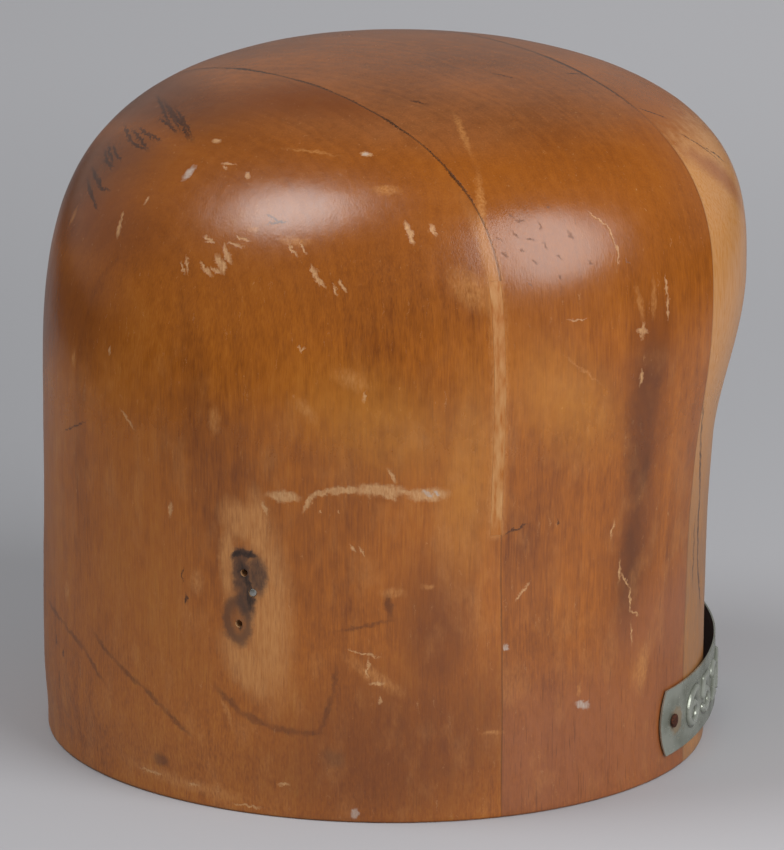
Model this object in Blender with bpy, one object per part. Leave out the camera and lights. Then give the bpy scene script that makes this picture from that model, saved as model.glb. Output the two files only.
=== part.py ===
"""Hat block: a head form of three glued planks with a tin size plate tacked to its base.

Metres, +Z up, +Y towards the back of the head. Run it with blender --background --python part.py.
"""

import math

import bmesh
import bpy
from mathutils import Matrix, Vector

# The form, read outwards from the upright axis of its base
BLOCK_HEIGHT = 0.183
SIDE_BASE = 0.091
SIDE_WAIST = 0.0915
SIDE_WAIST_HEIGHT = 0.060
SIDE_BULGE = 0.096
SIDE_BULGE_HEIGHT = 0.124
FRONT_BASE = 0.0845
FRONT_WAIST = 0.086
FRONT_WAIST_HEIGHT = 0.020
FRONT_BULGE = 0.0865
FRONT_BULGE_HEIGHT = 0.088
BACK_BASE = 0.0885
BACK_WAIST = 0.088
BACK_WAIST_HEIGHT = 0.085
BACK_BULGE = 0.098
BACK_BULGE_HEIGHT = 0.129

# The widest part of each level section moves back with height, as on a head
CROWN_SETBACK = 0.016
SETBACK_START = 0.020
SETBACK_END = 0.140

# The dome is a superellipse above each bulge: a higher power makes a squarer shoulder
DOME_RISE_POWER = 3.2
DOME_WIDTH_POWER = 2.35
BASE_CHAMFER = 0.0008

# Joints between the planks, as distances from the axis towards the back
FRONT_JOINT = -0.0215
BACK_JOINT = 0.046
JOINT_GAP = 0.0003
CLEARANCE = 0.0003

# Dowels hidden in the two joints
DOWEL_DIAMETER = 0.010
DOWEL_LENGTH = 0.040
DOWEL_SPREAD = 0.096
DOWEL_HEIGHT = 0.085

# Blind socket in the base for the peg of a stand
SOCKET_DIAMETER = 0.0254
SOCKET_DEPTH = 0.060

# Strip of putty let into the front joint on the right side
FILLER_WIDTH = 0.0028
FILLER_LOW = 0.0765
FILLER_HIGH = 0.144
FILLER_DEPTH = 0.003

# Tin plate, held by a tack at one end and sprung away from the wood at the other
PLATE_LENGTH = 0.098
PLATE_HEIGHT = 0.018
PLATE_THICKNESS = 0.0005
PLATE_LOW_EDGE = 0.0054
PLATE_END_BULGE = 0.003
PLATE_START_ANGLE = math.radians(69.0)
PLATE_SEATED_LENGTH = 0.018
PLATE_SPRUNG_RADIUS = 0.137
TACK_INSET = 0.0067

TACK_HEAD_DIAMETER = 0.0037
TACK_HEAD_THICKNESS = 0.0006
TACK_SHANK_DIAMETER = 0.0016
TACK_LENGTH = 0.011

# Both nails come to a blunt point
NAIL_POINT_LENGTH = 0.003
NAIL_POINT_SHARE = 0.35

# Brad and empty nail holes low on the front right
BRAD_HEAD_DIAMETER = 0.002
BRAD_HEAD_THICKNESS = 0.0005
BRAD_SHANK_DIAMETER = 0.0012
BRAD_LENGTH = 0.014
BRAD_ANGLE = math.radians(146.3)
BRAD_HEIGHT = 0.0604
HOLE_DIAMETER = 0.002
HOLE_DEPTH = 0.009
UPPER_HOLE_ANGLE = math.radians(147.9)
UPPER_HOLE_HEIGHT = 0.0655
LOWER_HOLE_ANGLE = math.radians(148.9)
LOWER_HOLE_HEIGHT = 0.0516

# How finely round things are faceted
AROUND = 64
LEVELS = 34
PEG_SIDES = 24
SOCKET_SIDES = 48
PIN_SIDES = 16
PLATE_COLUMNS = 32
PLATE_ROWS = 4
SMOOTH_ANGLE = math.radians(35.0)
MERGE_DISTANCE = 1e-6

# How the point of the wall at an angle is searched for, and the step that slopes are measured with
SEARCH_WIDTH = 0.5
SEARCH_HALVINGS = 40
SMALL_STEP = 1e-4


def ease(share):
    """Runs from 0 to 1 with a level start and a level end."""
    share = min(max(share, 0.0), 1.0)
    return share * share * (3.0 - 2.0 * share)


def wall(height, base, waist, waist_height, bulge, bulge_height):
    """Distance of the wall from the axis below the dome."""
    if height < waist_height:
        return base + (waist - base) * ease(height / waist_height)
    return waist + (bulge - waist) * ease((height - waist_height) / (bulge_height - waist_height))


def dome(height, bulge_height):
    """What is left of the bulge's reach at a height in the dome, from 1 down to 0 at the top."""
    rise = (height - bulge_height) / (BLOCK_HEIGHT - bulge_height)
    rise = min(max(rise, 0.0), 1.0)
    return (1.0 - rise**DOME_RISE_POWER) ** (1.0 / DOME_WIDTH_POWER)


def setback(height):
    """How far behind the axis a level section is widest."""
    return CROWN_SETBACK * ease((height - SETBACK_START) / (SETBACK_END - SETBACK_START))


def side_reach(height):
    reach = wall(height, SIDE_BASE, SIDE_WAIST, SIDE_WAIST_HEIGHT, SIDE_BULGE, SIDE_BULGE_HEIGHT)
    return reach * dome(height, SIDE_BULGE_HEIGHT)


def front_reach(height):
    reach = wall(height, FRONT_BASE, FRONT_WAIST, FRONT_WAIST_HEIGHT, FRONT_BULGE, FRONT_BULGE_HEIGHT)
    return (reach + CROWN_SETBACK) * dome(height, FRONT_BULGE_HEIGHT) - CROWN_SETBACK


def back_reach(height):
    reach = wall(height, BACK_BASE, BACK_WAIST, BACK_WAIST_HEIGHT, BACK_BULGE, BACK_BULGE_HEIGHT)
    return (reach - CROWN_SETBACK) * dome(height, BACK_BULGE_HEIGHT) + CROWN_SETBACK


def on_section(turn, height, inset=0.0):
    """A point of the level section, with turn 0 at the right side and a quarter turn at the back."""
    across, along = math.cos(turn), math.sin(turn)
    middle = setback(height)
    half_depth = back_reach(height) - middle if along > 0.0 else front_reach(height) + middle
    return Vector(((side_reach(height) - inset) * across, middle + (half_depth - inset) * along, height))


def on_wall(angle, height):
    """The wall's point at an angle round the axis, from the back towards the right, and its level normal."""
    aim_x, aim_y = math.sin(angle), math.cos(angle)
    near = math.atan2(aim_y, aim_x)
    low, high = near - SEARCH_WIDTH, near + SEARCH_WIDTH
    for _ in range(SEARCH_HALVINGS):
        turn = (low + high) / 2.0
        point = on_section(turn, height)
        if aim_x * point.y > aim_y * point.x:
            high = turn
        else:
            low = turn
    along = on_section(turn + SMALL_STEP, height) - on_section(turn - SMALL_STEP, height)
    return point, Vector((along.y, -along.x, 0.0)).normalized()


def side_wall(along, height):
    """How far to the right the wall lies at a distance along the head from the axis and at a height."""
    middle = setback(height)
    half_depth = back_reach(height) - middle if along > middle else front_reach(height) + middle
    return side_reach(height) * math.sqrt(1.0 - ((along - middle) / half_depth) ** 2)


def rings():
    """Height and inset of each level ring, from the chamfered base up, closer together towards the top."""
    yield 0.0, BASE_CHAMFER
    for level in range(LEVELS):
        share = math.sin(level / LEVELS * math.pi / 2.0)
        yield BASE_CHAMFER + (BLOCK_HEIGHT - BASE_CHAMFER) * share, 0.0


def form_mesh():
    """The whole head form as one closed bmesh."""
    form = bmesh.new()
    below = None
    for height, inset in rings():
        ring = bmesh.ops.create_circle(form, segments=AROUND, radius=1.0)["verts"]
        for vert in ring:
            vert.co = on_section(math.atan2(vert.co.y, vert.co.x), height, inset)
        edges = list({edge for vert in ring for edge in vert.link_edges})
        if below is None:
            bmesh.ops.edgeloop_fill(form, edges=edges)
        else:
            bmesh.ops.bridge_loops(form, edges=below + edges)
        below = edges
    cap = bmesh.ops.edgeloop_fill(form, edges=below)["faces"]
    top = bmesh.ops.poke(form, faces=cap)["verts"]
    top[0].co = Vector((0.0, CROWN_SETBACK, BLOCK_HEIGHT))
    bmesh.ops.recalc_face_normals(form, faces=form.faces)
    return form


def saw(mesh, point, removed_side):
    """Cuts a closed bmesh by a plane, takes away the side its normal points to and closes the cut."""
    everything = mesh.verts[:] + mesh.edges[:] + mesh.faces[:]
    cut = bmesh.ops.bisect_plane(
        mesh, geom=everything, dist=MERGE_DISTANCE, plane_co=point, plane_no=removed_side, clear_outer=True
    )
    rim = [item for item in cut["geom_cut"] if isinstance(item, bmesh.types.BMEdge)]
    bmesh.ops.edgeloop_fill(mesh, edges=rim)
    bmesh.ops.recalc_face_normals(mesh, faces=mesh.faces)


def colour(name, red, green, blue, roughness, metallic=0.0):
    """A plain Principled material."""
    material = bpy.data.materials.new(name)
    material.use_nodes = True
    shader = material.node_tree.nodes["Principled BSDF"]
    shader.inputs["Base Color"].default_value = (red, green, blue, 1.0)
    shader.inputs["Roughness"].default_value = roughness
    shader.inputs["Metallic"].default_value = metallic
    return material


def piece(name, mesh, material, parent):
    """Turns a bmesh into a named object on the block."""
    data = bpy.data.meshes.new(name)
    mesh.to_mesh(data)
    mesh.free()
    data.materials.append(material)
    data.shade_smooth()
    data.set_sharp_from_angle(angle=SMOOTH_ANGLE)
    made = bpy.data.objects.new(name, data)
    made.parent = parent
    bpy.context.scene.collection.objects.link(made)
    return made


def peg_mesh(radius, length, sides):
    """A peg with its low end at the origin, standing along +Z."""
    return turned_mesh([(radius, 0.0), (radius, length)], sides)


def nail_mesh(shank_diameter, length, head_diameter, head_thickness):
    """A nail with its blunt point at the origin and its head on top, standing along +Z."""
    shank, head = shank_diameter / 2.0, head_diameter / 2.0
    outline = [
        (shank * NAIL_POINT_SHARE, 0.0),
        (shank, NAIL_POINT_LENGTH),
        (shank, length),
        (head, length),
        (head, length + head_thickness),
    ]
    return turned_mesh(outline, PIN_SIDES)


def turned_mesh(outline, sides):
    """Spins an outline of radius and height, low end first, into a closed solid about +Z."""
    turned = bmesh.new()
    places = [(0.0, outline[0][1]), *outline, (0.0, outline[-1][1])]
    verts = [turned.verts.new((radius, 0.0, height)) for radius, height in places]
    edges = [turned.edges.new(pair) for pair in zip(verts, verts[1:])]
    full_turn = 2.0 * math.pi
    bmesh.ops.spin(
        turned, geom=verts + edges, axis=(0.0, 0.0, 1.0), angle=full_turn, steps=sides, use_merge=True
    )
    bmesh.ops.remove_doubles(turned, verts=turned.verts, dist=MERGE_DISTANCE)
    bmesh.ops.recalc_face_normals(turned, faces=turned.faces)
    return turned


def aim(made, start, direction):
    """Stands an object at a point, with its +Z along a direction."""
    made.location = start
    made.rotation_euler = direction.to_track_quat("Z", "Y").to_euler()


def drill(name, start, direction, diameter, depth, sides, targets, parent):
    """Bores a round hole from a point along a direction into each target."""
    cutter = piece(name, peg_mesh(diameter / 2.0, depth, sides), targets[0].data.materials[0], parent)
    aim(cutter, start, direction)
    cut_with(cutter, targets)


def cut_with(cutter, targets):
    """Takes a hidden cutter's shape out of each target."""
    cutter.hide_render = True
    cutter.display_type = "WIRE"
    for target in targets:
        modifier = target.modifiers.new(cutter.name, "BOOLEAN")
        modifier.operation = "DIFFERENCE"
        modifier.solver = "EXACT"
        modifier.object = cutter


def make_planks(block):
    """The three planks, sawn from one form so that their outsides run on over the joints."""
    half_gap = Vector((0.0, JOINT_GAP / 2.0, 0.0))
    front = Vector((0.0, FRONT_JOINT, 0.0))
    back = Vector((0.0, BACK_JOINT, 0.0))
    towards_back = Vector((0.0, 1.0, 0.0))
    cuts = {
        "front_plank": [(front - half_gap, towards_back)],
        "middle_plank": [(front + half_gap, -towards_back), (back - half_gap, towards_back)],
        "back_plank": [(back + half_gap, -towards_back)],
    }
    tones = {
        "front_plank": colour("poplar_front", 0.40, 0.16, 0.05, 0.38),
        "middle_plank": colour("poplar_middle", 0.36, 0.14, 0.05, 0.38),
        "back_plank": colour("poplar_back", 0.48, 0.22, 0.08, 0.40),
    }
    planks = {}
    for name, planes in cuts.items():
        mesh = form_mesh()
        for point, removed_side in planes:
            saw(mesh, point, removed_side)
        planks[name] = piece(name, mesh, tones[name], block)
    return planks


def make_dowels(planks, block):
    """Two dowels across each joint, in blind holes."""
    beech = colour("beech", 0.55, 0.36, 0.20, 0.55)
    joints = {
        "front": (FRONT_JOINT, [planks["front_plank"], planks["middle_plank"]]),
        "back": (BACK_JOINT, [planks["middle_plank"], planks["back_plank"]]),
    }
    towards_back = Vector((0.0, 1.0, 0.0))
    for joint, (place, joined) in joints.items():
        for side, sign in (("right", 1.0), ("left", -1.0)):
            name = f"{joint}_dowel_{side}"
            start = Vector((sign * DOWEL_SPREAD / 2.0, place - DOWEL_LENGTH / 2.0, DOWEL_HEIGHT))
            dowel = piece(name, peg_mesh(DOWEL_DIAMETER / 2.0, DOWEL_LENGTH, PEG_SIDES), beech, block)
            aim(dowel, start, towards_back)
            drill(
                f"{name}_hole",
                start - towards_back * CLEARANCE,
                towards_back,
                DOWEL_DIAMETER + 2.0 * CLEARANCE,
                DOWEL_LENGTH + 2.0 * CLEARANCE,
                PEG_SIDES,
                joined,
                block,
            )


def make_socket(planks, block):
    """The blind hole for a stand's peg, at the middle of the base."""
    past_the_face = 0.001
    start = Vector((0.0, (BACK_BASE - FRONT_BASE) / 2.0, -past_the_face))
    up = Vector((0.0, 0.0, 1.0))
    depth = SOCKET_DEPTH + past_the_face
    middle = [planks["middle_plank"]]
    drill("stand_socket", start, up, SOCKET_DIAMETER, depth, SOCKET_SIDES, middle, block)


def make_filler(planks, block):
    """Putty in a rebate along the front plank's edge, flush with the wood outside."""
    putty = colour("putty", 0.62, 0.38, 0.20, 0.6)
    edge = FRONT_JOINT - JOINT_GAP / 2.0
    floor = min(side_wall(edge, FILLER_LOW), side_wall(edge, FILLER_HIGH)) - FILLER_DEPTH
    mesh = form_mesh()
    saw(mesh, Vector((floor, 0.0, 0.0)), Vector((-1.0, 0.0, 0.0)))
    saw(mesh, Vector((0.0, edge - FILLER_WIDTH, 0.0)), Vector((0.0, -1.0, 0.0)))
    saw(mesh, Vector((0.0, edge, 0.0)), Vector((0.0, 1.0, 0.0)))
    saw(mesh, Vector((0.0, 0.0, FILLER_LOW)), Vector((0.0, 0.0, -1.0)))
    saw(mesh, Vector((0.0, 0.0, FILLER_HIGH)), Vector((0.0, 0.0, 1.0)))
    piece("seam_filler", mesh, putty, block)
    low = Vector((floor - CLEARANCE, edge - FILLER_WIDTH - CLEARANCE, FILLER_LOW - CLEARANCE))
    high = Vector((2.0 * SIDE_BULGE, BACK_JOINT, FILLER_HIGH + CLEARANCE))
    box = bmesh.new()
    bmesh.ops.create_cube(box, size=1.0)
    bmesh.ops.scale(box, vec=high - low, verts=box.verts)
    bmesh.ops.translate(box, vec=(low + high) / 2.0, verts=box.verts)
    cut_with(piece("filler_rebate", box, putty, block), [planks["front_plank"]])


def plate_point(run, height):
    """The point of the plate's inner face at a distance from its tacked end and at a height."""
    start, _ = on_wall(PLATE_START_ANGLE, height)
    seated = min(run, PLATE_SEATED_LENGTH)
    point, normal = on_wall(PLATE_START_ANGLE - seated / start.xy.length, height)
    point += normal * CLEARANCE
    if run > PLATE_SEATED_LENGTH:
        bend = (run - PLATE_SEATED_LENGTH) / PLATE_SPRUNG_RADIUS
        centre = point - normal * PLATE_SPRUNG_RADIUS
        point = centre + Matrix.Rotation(bend, 3, "Z") @ normal * PLATE_SPRUNG_RADIUS
    return point


def plate_place(run):
    """The plate's inner face at a distance from its tacked end, half way up, and its outward normal there."""
    middle = PLATE_LOW_EDGE + PLATE_HEIGHT / 2.0
    along = plate_point(run + SMALL_STEP, middle) - plate_point(run - SMALL_STEP, middle)
    up = plate_point(run, middle + SMALL_STEP) - plate_point(run, middle - SMALL_STEP)
    return plate_point(run, middle), along.cross(up).normalized()


def make_plate(block):
    """The size plate: a thin strip with bowed ends."""
    mesh = bmesh.new()
    bmesh.ops.create_grid(mesh, x_segments=PLATE_COLUMNS, y_segments=PLATE_ROWS, size=0.5)
    for vert in mesh.verts:
        along, up = vert.co.x + 0.5, vert.co.y
        bow = PLATE_END_BULGE * (2.0 * up) ** 2
        height = PLATE_LOW_EDGE + PLATE_HEIGHT * (up + 0.5)
        vert.co = plate_point(bow + (PLATE_LENGTH - 2.0 * bow) * along, height)
    plate = piece("size_plate", mesh, colour("tinplate", 0.42, 0.43, 0.40, 0.42, 0.8), block)
    leaf = plate.modifiers.new("thickness", "SOLIDIFY")
    leaf.thickness = PLATE_THICKNESS
    leaf.offset = 1.0
    return plate


def make_tack(planks, plate, block):
    """The tack through the plate's seated end, and the holes left by the one lost from its free end."""
    bore = TACK_SHANK_DIAMETER + 2.0 * CLEARANCE
    point, normal = plate_place(TACK_INSET)
    under_head = point + normal * (PLATE_THICKNESS + CLEARANCE)
    mesh = nail_mesh(TACK_SHANK_DIAMETER, TACK_LENGTH, TACK_HEAD_DIAMETER, TACK_HEAD_THICKNESS)
    tack = piece("plate_tack", mesh, colour("rusty_iron", 0.10, 0.05, 0.035, 0.7, 0.4), block)
    aim(tack, under_head - normal * TACK_LENGTH, normal)
    bottom = under_head - normal * (TACK_LENGTH + CLEARANCE)
    drill("tack_hole", bottom, normal, bore, 2.0 * TACK_LENGTH, PIN_SIDES, [plate, *planks.values()], block)

    point, normal = plate_place(PLATE_LENGTH - TACK_INSET)
    start = point - normal * TACK_LENGTH
    drill("lost_tack_plate_hole", start, normal, bore, 2.0 * TACK_LENGTH, PIN_SIDES, [plate], block)
    lost_angle = PLATE_START_ANGLE - (PLATE_LENGTH - TACK_INSET) / SIDE_BASE
    bore_wall("lost_tack_wood_hole", lost_angle, point.z, TACK_SHANK_DIAMETER, TACK_LENGTH, planks, block)


def bore_wall(name, angle, height, diameter, depth, planks, block):
    """Bores a hole square into the wall at an angle and a height."""
    past_the_face = 0.002
    point, normal = on_wall(angle, height)
    start = point + normal * past_the_face
    drill(name, start, -normal, diameter, depth + past_the_face, PIN_SIDES, list(planks.values()), block)


def make_brad(planks, block):
    """The brad, its hole with a seat for the head, and the two empty holes beside it."""
    steel = colour("bright_steel", 0.62, 0.60, 0.56, 0.3, 1.0)
    point, normal = on_wall(BRAD_ANGLE, BRAD_HEIGHT)
    brad_mesh = nail_mesh(BRAD_SHANK_DIAMETER, BRAD_LENGTH, BRAD_HEAD_DIAMETER, BRAD_HEAD_THICKNESS)
    under_head = point - normal * BRAD_HEAD_THICKNESS
    aim(piece("side_brad", brad_mesh, steel, block), under_head - normal * BRAD_LENGTH, normal)
    shank_bore = BRAD_SHANK_DIAMETER + 2.0 * CLEARANCE
    head_bore = BRAD_HEAD_DIAMETER + 2.0 * CLEARANCE
    seat_depth = BRAD_HEAD_THICKNESS + CLEARANCE
    hole_depth = seat_depth + BRAD_LENGTH + CLEARANCE
    bore_wall("brad_hole", BRAD_ANGLE, BRAD_HEIGHT, shank_bore, hole_depth, planks, block)
    bore_wall("brad_seat", BRAD_ANGLE, BRAD_HEIGHT, head_bore, seat_depth, planks, block)
    holes = {
        "upper_nail_hole": (UPPER_HOLE_ANGLE, UPPER_HOLE_HEIGHT),
        "lower_nail_hole": (LOWER_HOLE_ANGLE, LOWER_HOLE_HEIGHT),
    }
    for name, (angle, height) in holes.items():
        bore_wall(name, angle, height, HOLE_DIAMETER, HOLE_DEPTH, planks, block)


def main():
    for old in list(bpy.data.objects):
        bpy.data.objects.remove(old)
    tip, outward = plate_place(PLATE_LENGTH)
    foremost = max(FRONT_BASE, FRONT_WAIST, FRONT_BULGE)
    hindmost = max(BACK_BASE, BACK_BULGE, tip.y + outward.y * PLATE_THICKNESS)
    block = bpy.data.objects.new("hat_block", None)
    block.location = (0.0, (foremost - hindmost) / 2.0, 0.0)
    bpy.context.scene.collection.objects.link(block)
    planks = make_planks(block)
    make_dowels(planks, block)
    make_socket(planks, block)
    make_filler(planks, block)
    plate = make_plate(block)
    make_tack(planks, plate, block)
    make_brad(planks, block)


main()
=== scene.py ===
"""The looks of a hat block: three glued poplar planks under old shellac, with a tin number plate.

It is laid out as an add-on and run as a script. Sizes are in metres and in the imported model's frame,
+Z up, +X the right side of the head and +Y its back. Patterns in the materials are in millimetres.
"""

import functools
import math

import bmesh
import bpy
from bpy.props import FloatProperty, FloatVectorProperty, IntProperty, PointerProperty
from mathutils import Matrix, Vector, noise


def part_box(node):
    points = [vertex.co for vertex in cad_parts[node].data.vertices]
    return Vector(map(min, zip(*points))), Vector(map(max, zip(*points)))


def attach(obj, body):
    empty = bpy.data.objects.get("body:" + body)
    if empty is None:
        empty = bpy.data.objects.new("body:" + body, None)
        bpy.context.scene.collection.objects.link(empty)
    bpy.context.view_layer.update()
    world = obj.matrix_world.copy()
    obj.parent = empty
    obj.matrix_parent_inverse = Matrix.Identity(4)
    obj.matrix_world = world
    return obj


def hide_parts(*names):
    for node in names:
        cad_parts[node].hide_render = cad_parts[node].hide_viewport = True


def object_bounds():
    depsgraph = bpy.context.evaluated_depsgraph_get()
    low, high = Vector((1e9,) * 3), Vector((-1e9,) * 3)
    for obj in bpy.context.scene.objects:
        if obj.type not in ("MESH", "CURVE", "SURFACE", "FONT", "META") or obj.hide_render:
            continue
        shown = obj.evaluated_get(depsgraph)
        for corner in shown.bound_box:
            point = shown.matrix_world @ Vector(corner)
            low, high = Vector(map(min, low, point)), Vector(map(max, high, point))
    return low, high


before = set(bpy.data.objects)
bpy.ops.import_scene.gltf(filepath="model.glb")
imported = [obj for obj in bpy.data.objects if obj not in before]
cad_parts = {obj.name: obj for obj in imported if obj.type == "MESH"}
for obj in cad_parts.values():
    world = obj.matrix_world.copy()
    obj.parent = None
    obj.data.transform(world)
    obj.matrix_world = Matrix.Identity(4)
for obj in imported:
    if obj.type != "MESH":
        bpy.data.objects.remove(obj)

bl_info = {
    "name": "Hat block",
    "version": (1, 0, 0),
    "blender": (4, 5, 0),
    "location": "3D View > Sidebar > Hat block",
    "description": "Dresses the packed hat block in old shellac, putty, tin and rust",
    "category": "Add Mesh",
}

CAD_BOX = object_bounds()
BLOCK_HEIGHT = CAD_BOX[1].z
SIDE_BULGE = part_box("middle_plank")[1].x
FRONT_BULGE = 0.0865

# The form's upright axis stands this far along Y, and everything below is read from it
AXIS_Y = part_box("front_plank")[0].y + FRONT_BULGE

# Heights of the waists and bulges of the form, and the shape of its dome
SIDE_WAIST_HEIGHT = 0.060
SIDE_BULGE_HEIGHT = 0.124
FRONT_WAIST_HEIGHT = 0.020
FRONT_BULGE_HEIGHT = 0.088
BACK_WAIST_HEIGHT = 0.085
BACK_BULGE_HEIGHT = 0.129
SETBACK_START = 0.020
SETBACK_END = 0.140
DOME_RISE_POWER = 3.2
DOME_WIDTH_POWER = 2.35

# Joints, dowels and socket, and how many sides the holes have
FRONT_JOINT = -0.0215
BACK_JOINT = 0.046
CLEARANCE = 0.0003
DOWEL_DIAMETER = 0.010
DOWEL_LENGTH = 0.040
SOCKET_DIAMETER = 0.0254
SOCKET_DEPTH = 0.060
SOCKET_Y = 0.002
DOWEL_SIDES = 32
SOCKET_SIDES = 64
SMALL_SIDES = 24

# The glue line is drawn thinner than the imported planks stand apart, because only its dirt shows
JOINT_GAP = 0.00004
HAIRLINE = 0.00003

# Cutters start a little past the surface that they open
PAST_THE_FACE = 0.002
OVERRUN = 0.001

# Plate, tack, brad and empty nail holes. Angles run from the back towards the right
PLATE_START_ANGLE = math.radians(69.0)
PLATE_LOW_EDGE = 0.0054
PLATE_HEIGHT = 0.018
PLATE_COLUMNS = 400
PLATE_ROWS = 72
WALL_BEHIND_PLATE = 0.091
TACK_INSET = 0.0067
TACK_LENGTH = 0.011
TACK_HEAD_THICKNESS = 0.0006
BRAD_ANGLE = math.radians(146.3)
BRAD_HEIGHT = 0.0604
BRAD_LENGTH = 0.014
BRAD_HEAD_THICKNESS = 0.0005
NAIL_POINT_LENGTH = 0.003
NAIL_POINT_SHARE = 0.35
HEAD_CROWN = 0.5
HOLE_DIAMETER = 0.002
HOLE_DEPTH = 0.009
NAIL_HOLES = ((math.radians(147.9), 0.0655), (math.radians(148.9), 0.0516))

# Digits of the plate and where each starts along it, and how far round a stroke the tin is marked
DIGITS = (("6", 0.0170), ("5", 0.0300), ("2", 0.0425), ("2", 0.0550))
STROKE_REACH = 0.0025

# Camera and lamps, and the directions along the paper, away from the camera, and across it
CAMERA_AZIMUTH = math.radians(54.03)
CAMERA_ELEVATION = math.radians(15.146)
CAMERA_LENS = 396.9
AIM_ASIDE = 0.0058
AIM_HEIGHT = 0.0833
LAMP_DISTANCE = 1.6
LAMP_AIM_HEIGHT = 0.10
FLOOR_HALF_WIDTH = 6.0
PAPER_AWAY = (-0.81, 0.59, 0.0)
PAPER_ACROSS = (0.59, 0.81, 0.0)

# Marks in the finish run on past the end of a plank by some millimetres. No mark is as far off as this
MARK_OVERLAP = 4.0
FAR_OFF = 99.0

TOWARDS_BACK = Vector((0.0, 1.0, 0.0))
UP = Vector((0.0, 0.0, 1.0))
SEARCH_WIDTH = 0.5
SEARCH_HALVINGS = 40
SMALL_STEP = 1e-4
SEAM_TURN = 0.0015
MERGE_DISTANCE = 1e-6
SMOOTH_ANGLE = math.radians(35.0)
MM = 1000.0


def linear(hex_value):
    """Linear RGBA from an sRGB hex value."""
    channels = [int(hex_value[at:at + 2], 16) / 255.0 for at in (0, 2, 4)]
    spread = [c / 12.92 if c <= 0.04045 else ((c + 0.055) / 1.055) ** 2.4 for c in channels]
    return (*spread, 1.0)


def size(name, default, description):
    """A length for a property group."""
    return FloatProperty(
        name=name, default=default, description=description, min=0.0, unit="LENGTH", precision=5
    )


def tint(name, hex_value, description):
    """A colour for a property group."""
    return FloatVectorProperty(
        name=name,
        default=linear(hex_value),
        description=description,
        subtype="COLOR",
        size=4,
        min=0.0,
        max=1.0,
    )


class FormSizes(bpy.types.PropertyGroup):
    """Reaches of the head form from its upright axis, and how finely it is made."""

    side_base: size("Side at base", 0.091, "Half width at the base")
    side_waist: size("Side at waist", 0.0915, "Half width at the waist")
    side_bulge: size("Side at bulge", SIDE_BULGE, "Half width at the widest level")
    front_base: size("Front at base", 0.0845, "Reach to the front at the base")
    front_waist: size("Front at waist", 0.086, "Reach to the front just above the base")
    front_bulge: size("Front at bulge", FRONT_BULGE, "Reach to the front at its furthest")
    back_base: size("Back at base", 0.0885, "Reach to the back at the base")
    back_waist: size("Nape", 0.088, "Reach to the back in the hollow of the nape")
    back_bulge: size("Back at bulge", 0.098, "Reach to the back at the bulge of the head")
    crown_setback: size("Crown setback", 0.016, "How far behind the axis the crown lies")
    base_rounding: size("Base rounding", 0.0008, "Radius of the worn edge round the base")
    waviness: size("Waviness", 0.00025, "Depth of the dips that shaping by hand left")
    wave_width: size("Wave width", 0.024, "Distance from one dip to the next")
    columns: IntProperty(name="Columns", default=512, min=64, description="Columns of faces round the form")
    wall_rows: IntProperty(name="Wall rows", default=110, min=20, description="Rows of faces up the walls")
    dome_rows: IntProperty(name="Dome rows", default=90, min=20, description="Rows of faces over the dome")


class TrimSizes(bpy.types.PropertyGroup):
    """The putty strip, the number plate and the nails."""

    filler_width: size("Filler width", 0.0028, "Width of the putty strip")
    filler_low: size("Filler foot", 0.0765, "Height of the strip's lower end")
    filler_high: size("Filler top", 0.144, "Height of the strip's upper end")
    filler_depth: size("Filler depth", 0.003, "Depth of the strip in the wood")
    plate_length: size("Plate length", 0.098, "Length of the plate along its curve")
    plate_thickness: size("Plate thickness", 0.00045, "Thickness of the tin")
    end_bulge: size("End bulge", 0.003, "How far the ends of the plate bow out")
    seated_length: size("Seated length", 0.018, "How much of the plate lies on the wood")
    sprung_radius: size("Sprung radius", 0.1368, "Radius of the part that has sprung away")
    digit_height: size("Digit height", 0.0088, "Height of the pressed digits")
    digit_width: size("Digit width", 0.0078, "Width of the pressed digits")
    digit_rise: size("Digit rise", 0.0008, "How far the digits stand out of the tin")
    stroke_width: size("Stroke width", 0.0006, "Width of the flat top of a digit's stroke")
    stroke_slope: size("Stroke slope", 0.0006, "Width of the sloping sides of a stroke")
    tack_head: size("Tack head", 0.0037, "Diameter of the tack's head")
    tack_shank: size("Tack shank", 0.0016, "Diameter of the tack's shank")
    brad_head: size("Brad head", 0.002, "Diameter of the brad's head")
    brad_shank: size("Brad shank", 0.0012, "Diameter of the brad's shank")


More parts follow.
